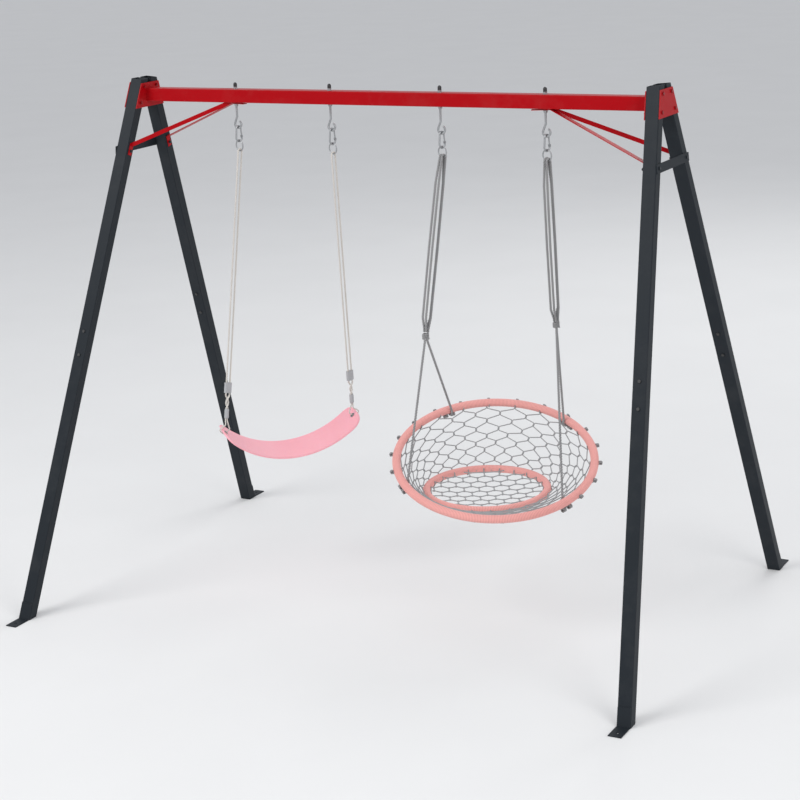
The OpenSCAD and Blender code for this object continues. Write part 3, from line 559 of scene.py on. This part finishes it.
def hook_shape(hook):
    """A J hook: a shank through the beam that slants into an open eye with a rounded tip."""
    shank_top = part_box("hook_" + hook)[1][2]
    eye = Vector((EYE_X[hook], 0, PIVOT_Z + HOOK_EYE_R))
    shank_x = EYE_X[hook] - HOOK_EYE_SHIFT
    bend = Vector((shank_x, 0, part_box("beam")[0][2] - HOOK_SHANK))
    reach = bend - eye
    start = degrees(atan2(reach.z, reach.x)) + degrees(acos(HOOK_EYE_R / reach.length))
    round_eye = arc(eye, ALONG_BEAM, UP, HOOK_EYE_R, start, 410, 40)
    path = [Vector((shank_x, 0, shank_top)), bend + UP * 0.006, bend, *round_eye]
    rod = cord_tubes([path], 2 * HOOK_ROD_R - 0.0002, sides=20)
    return merge(rod, ball(round_eye[-1], HOOK_ROD_R - 0.0001))


def thread_shape(hook):
    """The thread that shows on the shank under the beam."""
    shank = Vector((EYE_X[hook] - HOOK_EYE_SHIFT, 0, 0))
    beam_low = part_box("beam")[0][2]
    middle = shank + UP * (beam_low - 0.028)
    thread = coil(middle, UP, ALONG_BEAM, HOOK_ROD_R - 0.0002, THREAD_PITCH, THREAD_TURNS, 14)
    return cord_tubes([thread], 0.0011, sides=5)


def link_place(hook):
    """A link's own axes: its origin on the hook's rod, X through the link, Y across it, Z up."""
    place = Matrix((LINK_AXIS, STRAND_AXIS, UP)).transposed().to_4x4()
    place.translation = Vector((EYE_X[hook], 0, PIVOT_Z))
    return place


def block(size, middle, place):
    """A box with its middle at a point of the axes that place holds."""
    shape = bmesh.new()
    bmesh.ops.create_cube(shape, size=1)
    bmesh.ops.scale(shape, vec=size, verts=shape.verts)
    bmesh.ops.translate(shape, vec=middle, verts=shape.verts)
    bmesh.ops.transform(shape, matrix=place, verts=shape.verts)
    return shape


def link_cheek(hand, gate):
    """One of the two rounded cheeks that hold the gate's knuckle."""
    cheek = block((CHEEK_T, CHEEK_W, CHEEK_H), (hand * CHEEK_X, 0, CHEEK_H / 2), Matrix())
    through = [e for e in cheek.edges if abs(e.verts[0].co.x - e.verts[1].co.x) > CHEEK_T / 2]
    bmesh.ops.bevel(cheek, geom=through, offset=0.0022, segments=4, profile=0.5, affect="EDGES", material=-1)
    bmesh.ops.transform(cheek, matrix=gate, verts=cheek.verts)
    return cheek


def link_pin(gate):
    pin = bmesh.new()
    bmesh.ops.create_cone(pin, cap_ends=True, segments=20, radius1=PIN_R, radius2=PIN_R, depth=PIN_LONG)
    place = gate @ Matrix.Translation(UP * GATE_PIVOT) @ Matrix.Rotation(pi / 2, 4, "Y")
    bmesh.ops.transform(pin, matrix=place, verts=pin.verts)
    return pin


def link_shape():
    """A pear-shaped snap link without its gate, in its own axes."""
    top = HOOK_ROD_R + RUNNING_GAP - (LINK_TOP_R - LINK_ROD_R)
    low = top - LINK_REACH
    lean = asin((LINK_LOW_R - LINK_TOP_R) / LINK_REACH)
    side = LINK_REACH * cos(lean)
    across = Vector((0, 1, 0))
    climb = Vector((0, -sin(lean), cos(lean)))
    foot = Vector((0, LINK_LOW_R * cos(lean), low + LINK_LOW_R * sin(lean)))
    stub = GATE_PIVOT - KNUCKLE_R - 0.0003
    bends = arc(UP * top, across, UP, LINK_TOP_R, degrees(lean), 180 - degrees(lean), 24)
    bends += arc(UP * low, across, UP, LINK_LOW_R, 180 - degrees(lean), 360 + degrees(lean), 30)
    rod = cord_tubes([[foot + climb * (side - GATE_NOSE), *bends, foot + climb * stub]], 2 * LINK_ROD_R, 18)
    gate = Matrix.Translation(foot) @ Matrix.Rotation(lean, 4, "X")
    base = block((2 * CHEEK_X, 0.0052, stub - 0.0004), (0, 0, stub / 2), gate)
    return merge(rod, link_cheek(-1, gate), link_cheek(1, gate), link_pin(gate), base)


# ---- Belt swing ----

def belt_points():
    """The two eyelets' middles and the directions that the belt lies in."""
    belt = bpy.context.scene.swing_belt
    middle = joint_place("belt_seat_rock")
    along = joint_axis("belt_seat_rock")
    return middle, along, {hand: middle + hand * belt.span / 2 * along for hand in (-1, 1)}


def belt_bend(belt):
    """The radius that the belt is bent to, and its slope at the eyelets."""
    radius = ((belt.span / 2) ** 2 + belt.sag ** 2) / 2 / belt.sag
    return radius, asin(belt.span / 2 / radius)


def belt_up():
    """The upward direction of the tipped belt, square to the line between its eyelets."""
    belt = bpy.context.scene.swing_belt
    return UP * cos(belt.tip) - UP.cross(belt_points()[1]) * sin(belt.tip)


def ring_low_point(hook):
    """The middle of the rod at the bottom of a hook's ring."""
    node = "belt_rings" if hook.startswith("belt") else "nest_rings"
    return Vector((EYE_X[hook], 0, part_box(node)[0][2] + RING_ROD_R))


def over_ring(top, down, across, half, rope_r, lift, lower):
    """A loop from its lower end over the ring's rod and back, as points."""
    middle = top + (half - rope_r - RING_ROD_R - lift) * down
    bend = [middle - half * (cos(a) * across + sin(a) * down) for a in (pi * k / 12 for k in range(13))]
    left = [top + s * down - w * across for s, w in lower]
    right = [top + s * down + w * across for s, w in reversed(lower)]
    return left + bend + right


def belt_rope_paths(hook, hand):
    """The long loop over the ring, its two parts twisted together under the adjuster."""
    ropes = bpy.context.scene.swing_ropes
    eyelet = belt_points()[2][hand]
    top = ring_low_point(hook)
    down = (eyelet - top).normalized()
    across = side_of(down, STRAND_AXIS)
    ferrule_top = (eyelet - top).length - ropes.ferrule_up - ropes.ferrule_long / 2
    free = (eyelet - top).length - ropes.adjuster_up + ropes.adjuster_long / 2 + 0.004
    rope_r = ropes.belt_rope / 2
    lower = [(free, ropes.belt_gap / 2), (free / 2, ropes.belt_gap / 2), (0.08, ropes.belt_gap / 2)]
    loop = over_ring(top, down, across, ropes.belt_gap / 2, rope_r, 0.0004, lower)
    over = down.cross(across)
    twist = []
    for k in range(1, 17):
        share = k / 16
        reach = ropes.belt_gap / 2 + (rope_r + 0.0002 - ropes.belt_gap / 2) * min(1, share * 2.2)
        turn = tau * share
        twist.append((free + (ferrule_top - free) * share, reach * cos(turn), reach * sin(turn)))
    left = [top + s * down - (x * across + y * over) for s, x, y in reversed(twist)]
    right = [top + s * down + (x * across + y * over) for s, x, y in twist]
    return [left + loop + right]


def loop_path(hand):
    """The lower loop: from the ferrule through the eyelet, under the belt's end and back up."""
    ropes = bpy.context.scene.swing_ropes
    belt = bpy.context.scene.swing_belt
    _, along, eyelets = belt_points()
    eyelet = eyelets[hand]
    lean = belt_bend(belt)[1]
    out = hand * along * cos(lean) + belt_up() * sin(lean)
    normal = -hand * along * sin(lean) + belt_up() * cos(lean)
    hook = "belt_left" if hand < 0 else "belt_right"
    down = (eyelet - ring_low_point(hook)).normalized()
    reach = belt.end + 0.008
    under = belt.thickness / 2 + 0.0015 + ropes.loop_rope / 2 + 0.0006
    top = eyelet - down * (ropes.ferrule_up - ropes.ferrule_long / 2 - 0.0004)
    side = 0.0038 * side_of(down, hand * along)
    steps = ((0.026, 0), (0.010, 0), (-0.005, 0), (-under + 0.0012, 0.0016), (-under, 0.005),
             (-under, reach - 0.006), (-under + 0.0016, reach - 0.0015), (-0.004, reach),
             (0.008, reach + 0.001), (0.026, reach - 0.004))
    middle_points = [eyelet + n * normal + o * out for n, o in steps]
    return [top - side, top + 0.008 * down - side, *middle_points, top + 0.008 * down + side, top + side]


def belt_shape():
    """The belt: a rounded strip bent to its sag, thick at the rim, with ribs across its underside."""
    belt = bpy.context.scene.swing_belt
    middle, along, _ = belt_points()
    radius, lean = belt_bend(belt)
    half_long = radius * lean + belt.end

    def half_wide(x):
        into = max(0.0, abs(x) - (half_long - belt.corner))
        round_off = (belt.corner ** 2 - min(into, belt.corner * 0.9999) ** 2) ** 0.5
        return belt.width / 2 - belt.corner + round_off

    shape = bmesh.new()
    bmesh.ops.create_grid(shape, x_segments=150, y_segments=44, size=0.5)
    for vert in shape.verts:
        x = 2 * vert.co.x * half_long
        vert.co = Vector((x, 2 * vert.co.y * half_wide(x), 0))
    extruded = bmesh.ops.extrude_face_region(shape, geom=shape.faces[:])
    upper = {v for v in extruded["geom"] if isinstance(v, bmesh.types.BMVert)}
    for vert in shape.verts:
        x, y = vert.co.x, vert.co.y
        edge = min(half_wide(x) - abs(y), half_long - abs(x))
        bead = max(0.0, 1 - edge / 0.009)
        web = belt.thickness / 2 - 0.0010 * (1 - bead)
        rib = 0.0004 * cos(tau * x / 0.012) * (1 - bead) * (vert not in upper)
        vert.co.z = web if vert in upper else -web - rib
    bmesh.ops.recalc_face_normals(shape, faces=shape.faces)
    up = belt_up()
    across = up.cross(along)
    centre = middle + up * radius * cos(lean)
    for vert in shape.verts:
        turn = vert.co.x / radius
        reach = radius - vert.co.z
        vert.co = centre + reach * (sin(turn) * along - cos(turn) * up) + vert.co.y * across
    return shape


def cut_holes(made):
    """Opens the two holes that the eyelets sit in."""
    belt = bpy.context.scene.swing_belt
    _, along, eyelets = belt_points()
    lean = belt_bend(belt)[1]
    drill = bmesh.new()
    for hand in (-1, 1):
        normal = -hand * along * sin(lean) + belt_up() * cos(lean)
        place = normal.to_track_quat("Z", "Y").to_matrix().to_4x4()
        place.translation = eyelets[hand]
        bmesh.ops.create_cone(
            drill, cap_ends=True, segments=40, radius1=belt.eyelet, radius2=belt.eyelet,
            depth=0.05, matrix=place,
        )
    mesh = bpy.data.meshes.new("drill")
    drill.to_mesh(mesh)
    drill.free()
    cutter = bpy.data.objects.new("drill", mesh)
    bpy.context.collection.objects.link(cutter)
    cut = made.modifiers.new("holes", "BOOLEAN")
    cut.operation = "DIFFERENCE"
    cut.solver = "EXACT"
    cut.object = cutter
    done = bpy.data.meshes.new_from_object(made.evaluated_get(bpy.context.evaluated_depsgraph_get()))
    made.modifiers.clear()
    made.data = done
    bpy.data.objects.remove(cutter)
    done.shade_smooth()
    done.set_sharp_from_angle(angle=radians(35))


# ---- Net swing ----

class NetFrame:
    """Where the two rings of the net seat are, and points on them by angle from the right, front first."""

    def __init__(self):
        self.net = bpy.context.scene.swing_net
        self.middle = box_middle("nest_outer_ring")
        self.floor_middle = box_middle("nest_floor_ring")
        self.right = Vector((cos(self.net.turn), sin(self.net.turn), 0))
        self.front = Vector((sin(self.net.turn), -cos(self.net.turn), 0))

    def fore(self, tilt):
        return self.front * cos(tilt) - UP * sin(tilt)

    def axis(self, tilt):
        return self.fore(tilt).cross(self.right)

    def direction(self, a, tilt):
        return cos(a) * self.right + sin(a) * self.fore(tilt)

    def outer(self, a):
        return self.middle + self.net.ring * self.direction(a, self.net.tilt)

    def inner(self, a):
        return self.floor_middle + self.net.floor_ring * self.direction(a, self.net.floor_tilt)

    def wall(self, a, share):
        """A point on the wall, from the outer tube's side (0) to the floor tube's side (1)."""
        top, low = self.outer(a), self.inner(a)
        down = (low - top).normalized()
        top = top + down * self.net.tube / 2
        low = low - down * self.net.floor_tube / 2
        return top.lerp(low, share)


def wound_ring(middle, right, fore, radius, tube, pitch):
    """A padded ring with cord wound round it, and how deep each point lies in the grooves, kept for the painted
    shade there.
    """
    axis = right.cross(fore)
    turns = round(tau * radius / pitch)
    steps = turns * 4
    shape = bmesh.new()
    ring = bmesh.ops.create_circle(shape, segments=14, radius=tube / 2)
    side = Matrix((right, axis, fore)).transposed().to_4x4()
    bmesh.ops.transform(shape, matrix=side, verts=ring["verts"])
    bmesh.ops.translate(shape, vec=middle + right * radius, verts=ring["verts"])
    bmesh.ops.spin(
        shape, geom=shape.verts[:] + shape.edges[:], cent=middle, axis=axis,
        angle=tau, steps=steps, use_merge=True,
    )
    groove = shape.verts.layers.float.new("groove")
    for vert in shape.verts:
        arm = vert.co - middle
        around = atan2(arm.dot(fore), arm.dot(right))
        centre = middle + radius * (cos(around) * right + sin(around) * fore)
        out = vert.co - centre
        lean = atan2(out.dot(axis), out.dot((centre - middle).normalized()))
        depth = 0.5 + 0.5 * cos(turns * around + lean)
        wander = noise.noise(centre * 9) * 0.012
        vert[groove] = depth ** 3
        vert.co = centre + out * (1.0 + wander - 0.075 * depth ** 2)
    bmesh.ops.recalc_face_normals(shape, faces=shape.faces)
    return shape


def wall_paths(seat):
    """The wall's cords: each leaves its knot downwards and bends across to a knot of the next row."""
    rows = seat.net.rows + 1
    half = pi / seat.net.knots

    def spot(step, row, lean=0.0, drop=0.0):
        wander = noise.noise(Vector((step % (2 * seat.net.knots) * 1.7, row * 2.3, 0.5)))
        share = min(1.0, max(0.0, (row + drop + (wander * 0.22 if 0 < row < rows else 0)) / rows))
        return seat.wall((step + 1 + lean + wander * 0.18) * half, share)

    paths, knots = [], []
    for row in range(rows):
        for step in range(row % 2, 2 * seat.net.knots, 2):
            knots += [(spot(step, row, drop=-0.14), spot(step, row, drop=0.14))] if row else []
            for side in (-1, 1):
                paths.append([
                    spot(step, row), spot(step, row, side * 0.06, 0.26),
                    spot(step + side, row + 1, -side * 0.06, -0.26), spot(step + side, row + 1),
                ])
    return paths, knots


def floor_paths(seat):
    """The floor's cords: wavy rows from side to side, joined into bricks and ended at the ring."""
    reach = seat.net.floor_ring - seat.net.floor_tube / 2 + 0.003
    fore = seat.fore(seat.net.floor_tilt)
    row_gap, half_cell, wave = 0.060, 0.034, 0.010
    paths, knots = [], []

    def place(x, y):
        dip = 0.012 * (1 - min(1.0, hypot(x, y) / reach) ** 2)
        return seat.floor_middle + x * seat.right + y * fore - UP * dip

    def point(column, row):
        high = (column + row) % 2 == 0
        return column * half_cell, row * row_gap + (wave if high else -wave)

    def cut_short(start, end):
        share = 1.0
        stop = end
        while hypot(*stop) > reach:
            share -= 0.02
            stop = [a + (b - a) * share for a, b in zip(start, end)]
        return stop

    for row in range(-4, 5):
        inside = [point(c, row) for c in range(-9, 10) if hypot(*point(c, row)) < reach - 0.012]
        if len(inside) < 2:
            continue
        y = row * row_gap
        edge = max(0.0, reach ** 2 - y ** 2) ** 0.5
        line = [(-edge, y), *inside, (edge, y)]
        paths.append([place(*spot) for spot in line])
        knots += [(place(x - 0.004, y), place(x + 0.004, y)) for x, y in inside]
    for row in range(-5, 5):
        for column in range(-9, 10):
            a, b = point(column, row), point(column, row + 1)
            if (column + row) % 2 == 0:
                fits = [hypot(*spot) < reach - 0.004 for spot in (a, b)]
                if all(fits):
                    paths.append([place(*a), place(*b)])
                elif any(fits):
                    start, end = (a, b) if fits[0] else (b, a)
                    stop = cut_short(start, end)
                    paths.append([place(*start), place(*stop)])
    return paths, knots


def rope_knot(middle, down, across, size, rope):
    """A wrapped bend: four turns round the ropes with one part crossing over them."""
    radius = size / 2 - rope / 2
    wraps = coil(middle, down, across, radius, rope * 0.82, 2.6)
    over = down.cross(side_of(down, across))
    sideways = side_of(down, across)
    crossing = [
        middle + radius * 1.02 * (cos(a) * sideways + sin(a) * (0.75 * down + 0.66 * over))
        for a in (tau * k / 24 for k in range(22))
    ]
    tail = [
        middle + radius * 0.9 * over + down * size * 0.1 * k + sideways * size * 0.06 * k for k in range(5)
    ]
    return laid_rope([wraps, crossing, tail], rope, 0.026, 0.004)


def hank_paths(hook, knot):
    """Two loops over the ring, whose parts hang apart and meet again at the knot."""
    ropes = bpy.context.scene.swing_ropes
    top = ring_low_point(hook)
    down = (knot - top).normalized()
    across = side_of(down, STRAND_AXIS)
    over = down.cross(across)
    rope_r = ropes.nest_rope / 2
    reach = (knot - top).length
    end = reach - ropes.knot / 2 - RUNNING_GAP
    paths = []
    for wide, shift in ((0.014, 1), (0.022, -1)):
        close = rope_r + 0.0005
        lower = [
            (end, close), (end - 0.012, close),
            (reach - 0.080, wide), (reach / 2, wide + 0.002), (0.110, wide),
        ]
        start = top + shift * (rope_r + 0.0003) * over
        paths.append(over_ring(start, down, across, rope_r + RING_ROD_R + 0.002, rope_r, 0.0032, lower))
    return paths


# Where each lower rope joins the outer ring, in degrees round it, and the side of its knot
ROPE_JOINTS = ((160, -1), (245, -1), (322, 1), (50, 1))


def near_front(a):
    """True along the ring's front, where the knots sit beneath the ring."""
    return 50 < degrees(a) < 160


# ---- Stage ----

FLOOR_HALF = 150
FLOOR_DROP = 0.0005
LIGHTS = (
    ("key", (-4.5, -7.0, 7.5), 6.0, 440),
    ("fill", (7.5, -4.5, 4.5), 5.0, 210),
    ("back", (1.0, 8.0, 7.0), 6.0, 190),
)


def add_camera(stage):
    sway, dive = stage.yaw, stage.pitch
    look = Vector((-sin(sway) * cos(dive), cos(sway) * cos(dive), -sin(dive)))
    level = Vector((cos(sway), sin(sway), 0))
    rise = level.cross(look)
    right = level * cos(stage.roll) + rise * sin(stage.roll)
    up = rise * cos(stage.roll) - level * sin(stage.roll)
    camera = bpy.data.objects.new("camera", bpy.data.cameras.new("camera"))
    camera.data.lens = stage.lens
    camera.data.sensor_width = 36
    camera.data.shift_x = -0.002
    camera.data.clip_end = 200
    place = Matrix((right, up, -look)).transposed().to_4x4()
    place.translation = Vector(stage.eye)
    camera.matrix_world = place
    bpy.context.collection.objects.link(camera)
    bpy.context.scene.camera = camera


def add_lights():
    """Three soft lights and an even sky."""
    for name, spot, size, power in LIGHTS:
        light = bpy.data.lights.new(name, "AREA")
        light.shape = "DISK"
        light.size = size
        light.energy = power
        lamp = bpy.data.objects.new(name, light)
        lamp.location = spot
        lamp.rotation_euler = (Vector((0, 0, 1.2)) - Vector(spot)).to_track_quat("-Z", "Y").to_euler()
        bpy.context.collection.objects.link(lamp)
    world = bpy.data.worlds.new("studio")
    world.use_nodes = True
    sky = world.node_tree.nodes["Background"]
    sky.inputs["Color"].default_value = (0.93, 0.95, 1.0, 1)
    sky.inputs["Strength"].default_value = 0.66
    bpy.context.scene.world = world
    bpy.context.scene.view_settings.view_transform = "Standard"


def add_floor():
    shape = bmesh.new()
    bmesh.ops.create_grid(shape, x_segments=8, y_segments=8, size=FLOOR_HALF)
    bmesh.ops.translate(shape, vec=(0, 0, -FLOOR_DROP), verts=shape.verts)
    mesh = bpy.data.meshes.new("studio_floor")
    shape.to_mesh(mesh)
    shape.free()
    mesh.materials.append(floor_finish("studio_floor"))
    floor = bpy.data.objects.new("studio_floor", mesh)
    bpy.context.collection.objects.link(floor)


# ---- Operators ----

class SWING_OT_stage(bpy.types.Operator):
    """Sets the camera, the soft studio lights and a plain pale floor"""

    bl_idname = "swing.stage"
    bl_label = "Stage"

    def execute(self, context):
        add_camera(context.scene.swing_stage)
        add_lights()
        add_floor()
        return {"FINISHED"}


class SWING_OT_finishes(bpy.types.Operator):
    """Gives every part of the frame its paint, plating or plastic"""

    bl_idname = "swing.finishes"
    bl_label = "Finishes"

    def execute(self, context):
        make_finishes(context.scene.swing_colours)
        for part in frame["record"]["subparts"]:
            painted = part["node"] in ("frame_bolts", "frame_nuts")
            for slot in frame["nodes"][part["node"]].material_slots:
                slot.material = FINISHES["bolts" if painted else part["material_slot"]]
        return {"FINISHED"}


class SWING_OT_belt_ropes(bpy.types.Operator):
    """Lays the cream ropes of the belt swing, with their lower loops"""

    bl_idname = "swing.belt_ropes"
    bl_label = "Belt ropes"

    def execute(self, context):
        ropes = context.scene.swing_ropes
        for hook, hand in (("belt_left", -1), ("belt_right", 1)):
            side = hook.split("_")[1]
            long = laid_rope(belt_rope_paths(hook, hand), ropes.belt_rope, ropes.lay)
            loop = laid_rope([loop_path(hand)], ropes.loop_rope, ropes.lay, 0.003)
            make_piece(f"cream_rope_{side}", merge(long, loop), "cream_rope", "belt_swing",
                       [f"belt_rope_{side}"], sharp=0)
        return {"FINISHED"}


class SWING_OT_net_ropes(bpy.types.Operator):
    """Lays the grey ropes of the net swing and ties their knots"""

    bl_idname = "swing.net_ropes"
    bl_label = "Net swing ropes"

    def execute(self, context):
        ropes = context.scene.swing_ropes
        seat = NetFrame()
        low, high = (Vector(corner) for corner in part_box("nest_rope_knots"))
        span = hypot(high.x - low.x - ropes.knot, high.y - low.y - ropes.knot)
        knots = {hand: joint_place("nest_seat_rock") + hand * span / 2 * joint_axis("nest_seat_rock")
                 for hand in (-1, 1)}
        upper = hank_paths("nest_left", knots[-1]) + hank_paths("nest_right", knots[1])
        make_piece("hank_ropes", laid_rope(upper, ropes.nest_rope, ropes.lay), "grey_rope", "nest_swing",
                   ["nest_upper_ropes"], sharp=0)
        bends = [rope_knot(knots[h], -UP, STRAND_AXIS, ropes.knot, 0.010) for h in (-1, 1)]
        make_piece("rope_bends", merge(*bends), "grey_rope", "nest_swing", ["nest_rope_knots"], sharp=0)
        lower, joints = [], []
        axis = seat.axis(seat.net.tilt)
        for turn, hand in ROPE_JOINTS:
            a = radians(turn)
            end = seat.outer(a)
            out = seat.direction(a, seat.net.tilt)
            start = knots[hand] + (end - knots[hand]).normalized() * (ropes.knot / 2 + RUNNING_GAP)
            hug = arc(end, -out, axis, (seat.net.tube + ropes.nest_rope) / 2 + 0.0005, 28, -100, 9)
            lower.append([start, *hug])
            for side in (-1, 1):
                along = axis.cross(out)
                under = end - axis * (seat.net.tube / 2 + 0.012) + side * 0.018 * along + out * 0.004
                joints.append(rope_knot(under, along, out, 0.026, 0.009))
        make_piece("lower_ropes", merge(laid_rope(lower, ropes.nest_rope, ropes.lay), *joints), "grey_rope",
                   "nest_seat", ["nest_lower_ropes"], sharp=0)
        return {"FINISHED"}


class SWING_OT_hooks(bpy.types.Operator):
    """Bends the hooks and the snap links from round rod"""

    bl_idname = "swing.hooks"
    bl_label = "Hooks and links"

    def execute(self, context):
        for hook in HOOKS:
            make_piece(f"bent_hook_{hook}", merge(hook_shape(hook), thread_shape(hook)), "zinc", "frame",
                       [f"hook_{hook}"])
            link = link_shape()
            bmesh.ops.transform(link, matrix=link_place(hook), verts=link.verts)
            swing = hook.split("_")[0] + "_swing"
            make_piece(f"bent_link_{hook}", link, "zinc", swing, [f"snap_link_{hook}"])
        return {"FINISHED"}


class SWING_OT_belt_seat(bpy.types.Operator):
    """Moulds the belt seat"""

    bl_idname = "swing.belt_seat"
    bl_label = "Belt seat"

    def execute(self, context):
        made = make_piece("moulded_belt", belt_shape(), "seat_rubber", "belt_seat", ["belt_seat"])
        cut_holes(made)
        return {"FINISHED"}


class SWING_OT_net_seat(bpy.types.Operator):
    """Winds the ring covers and knots the net between them"""

    bl_idname = "swing.net_seat"
    bl_label = "Net seat"

    def execute(self, context):
        seat = NetFrame()
        net = seat.net
        for name, middle, tilt, radius, tube in (
            ("outer", seat.middle, net.tilt, net.ring, net.tube),
            ("floor", seat.floor_middle, net.floor_tilt, net.floor_ring, net.floor_tube),
        ):
            ring = wound_ring(middle, seat.right, seat.fore(tilt), radius, tube, net.wrap)
            make_piece(f"wound_{name}_ring", ring, "ring_cover", "nest_seat", [f"nest_{name}_ring"], sharp=0)
        wall, wall_knots = wall_paths(seat)
        floor, floor_knots = floor_paths(seat)
        for name, paths, knots in (("wall", wall, wall_knots), ("floor", floor, floor_knots)):
            cords = cord_tubes([even(path, 0.012) for path in paths], net.cord, sides=6)
            lumps = cord_tubes([[a, a.lerp(b, 0.5), b] for a, b in knots], net.cord * 1.75, sides=6)
            make_piece(f"knotted_{name}", merge(cords, lumps), "grey_rope", "nest_seat", [f"nest_{name}_net"],
                       sharp=0)
        lashings, beads = [], []
        for index in range(net.knots):
            a = tau * (index + 0.5) / net.knots
            for tilt, middle, tube, start, end in (
                (net.tilt, seat.outer(a), net.tube, -8, 60 if near_front(a) else 180),
                (net.floor_tilt, seat.inner(a), net.floor_tube, -28, 200),
            ):
                out, axis = seat.direction(a, tilt), seat.axis(tilt)
                lashings.append(arc(middle, -out, -axis, tube / 2 + net.cord * 0.4, start, end, 14))
            axis, out = seat.axis(net.tilt), seat.direction(a, net.tilt)
            lean = radians(120 if near_front(a) else 0)
            place = seat.outer(a) + (cos(lean) * out - sin(lean) * axis) * (net.tube / 2 + 0.0075)
            beads.append(rope_knot(place, axis.cross(out), out, 0.019, 0.0065))
        make_piece("ring_lashings", merge(*beads, cord_tubes(lashings, net.cord, sides=6)), "grey_rope",
                   "nest_seat", ["nest_ring_knots"], sharp=0)
        return {"FINISHED"}


class SWING_PT_panel(bpy.types.Panel):
    """Lists the swing set's sizes, colours and pieces"""

    bl_idname = "SWING_PT_panel"
    bl_label = "Swing Set"
    bl_space_type = "VIEW_3D"
    bl_region_type = "UI"
    bl_category = "Swing Set"

    def draw(self, context):
        for key, group in SETTINGS.items():
            box = self.layout.box()
            for name in group.__annotations__:
                box.prop(getattr(context.scene, key), name)
        for operator in OPERATORS:
            self.layout.operator(operator.bl_idname)


OPERATORS = (
    SWING_OT_stage,
    SWING_OT_finishes,
    SWING_OT_belt_ropes,
    SWING_OT_net_ropes,
    SWING_OT_hooks,
    SWING_OT_belt_seat,
    SWING_OT_net_seat,
)


def register():
    for cls in (*SETTINGS.values(), *OPERATORS, SWING_PT_panel):
        bpy.utils.register_class(cls)
    for key, group in SETTINGS.items():
        setattr(bpy.types.Scene, key, PointerProperty(type=group))


def unregister():
    for key in SETTINGS:
        delattr(bpy.types.Scene, key)
    for cls in reversed((*SETTINGS.values(), *OPERATORS, SWING_PT_panel)):
        bpy.utils.unregister_class(cls)


def main():
    register()
    bpy.ops.swing.stage()
    bpy.ops.swing.finishes()
    bpy.ops.swing.belt_ropes()
    bpy.ops.swing.net_ropes()
    bpy.ops.swing.hooks()
    bpy.ops.swing.belt_seat()
    bpy.ops.swing.net_seat()


if __name__ == "__main__":
    main()
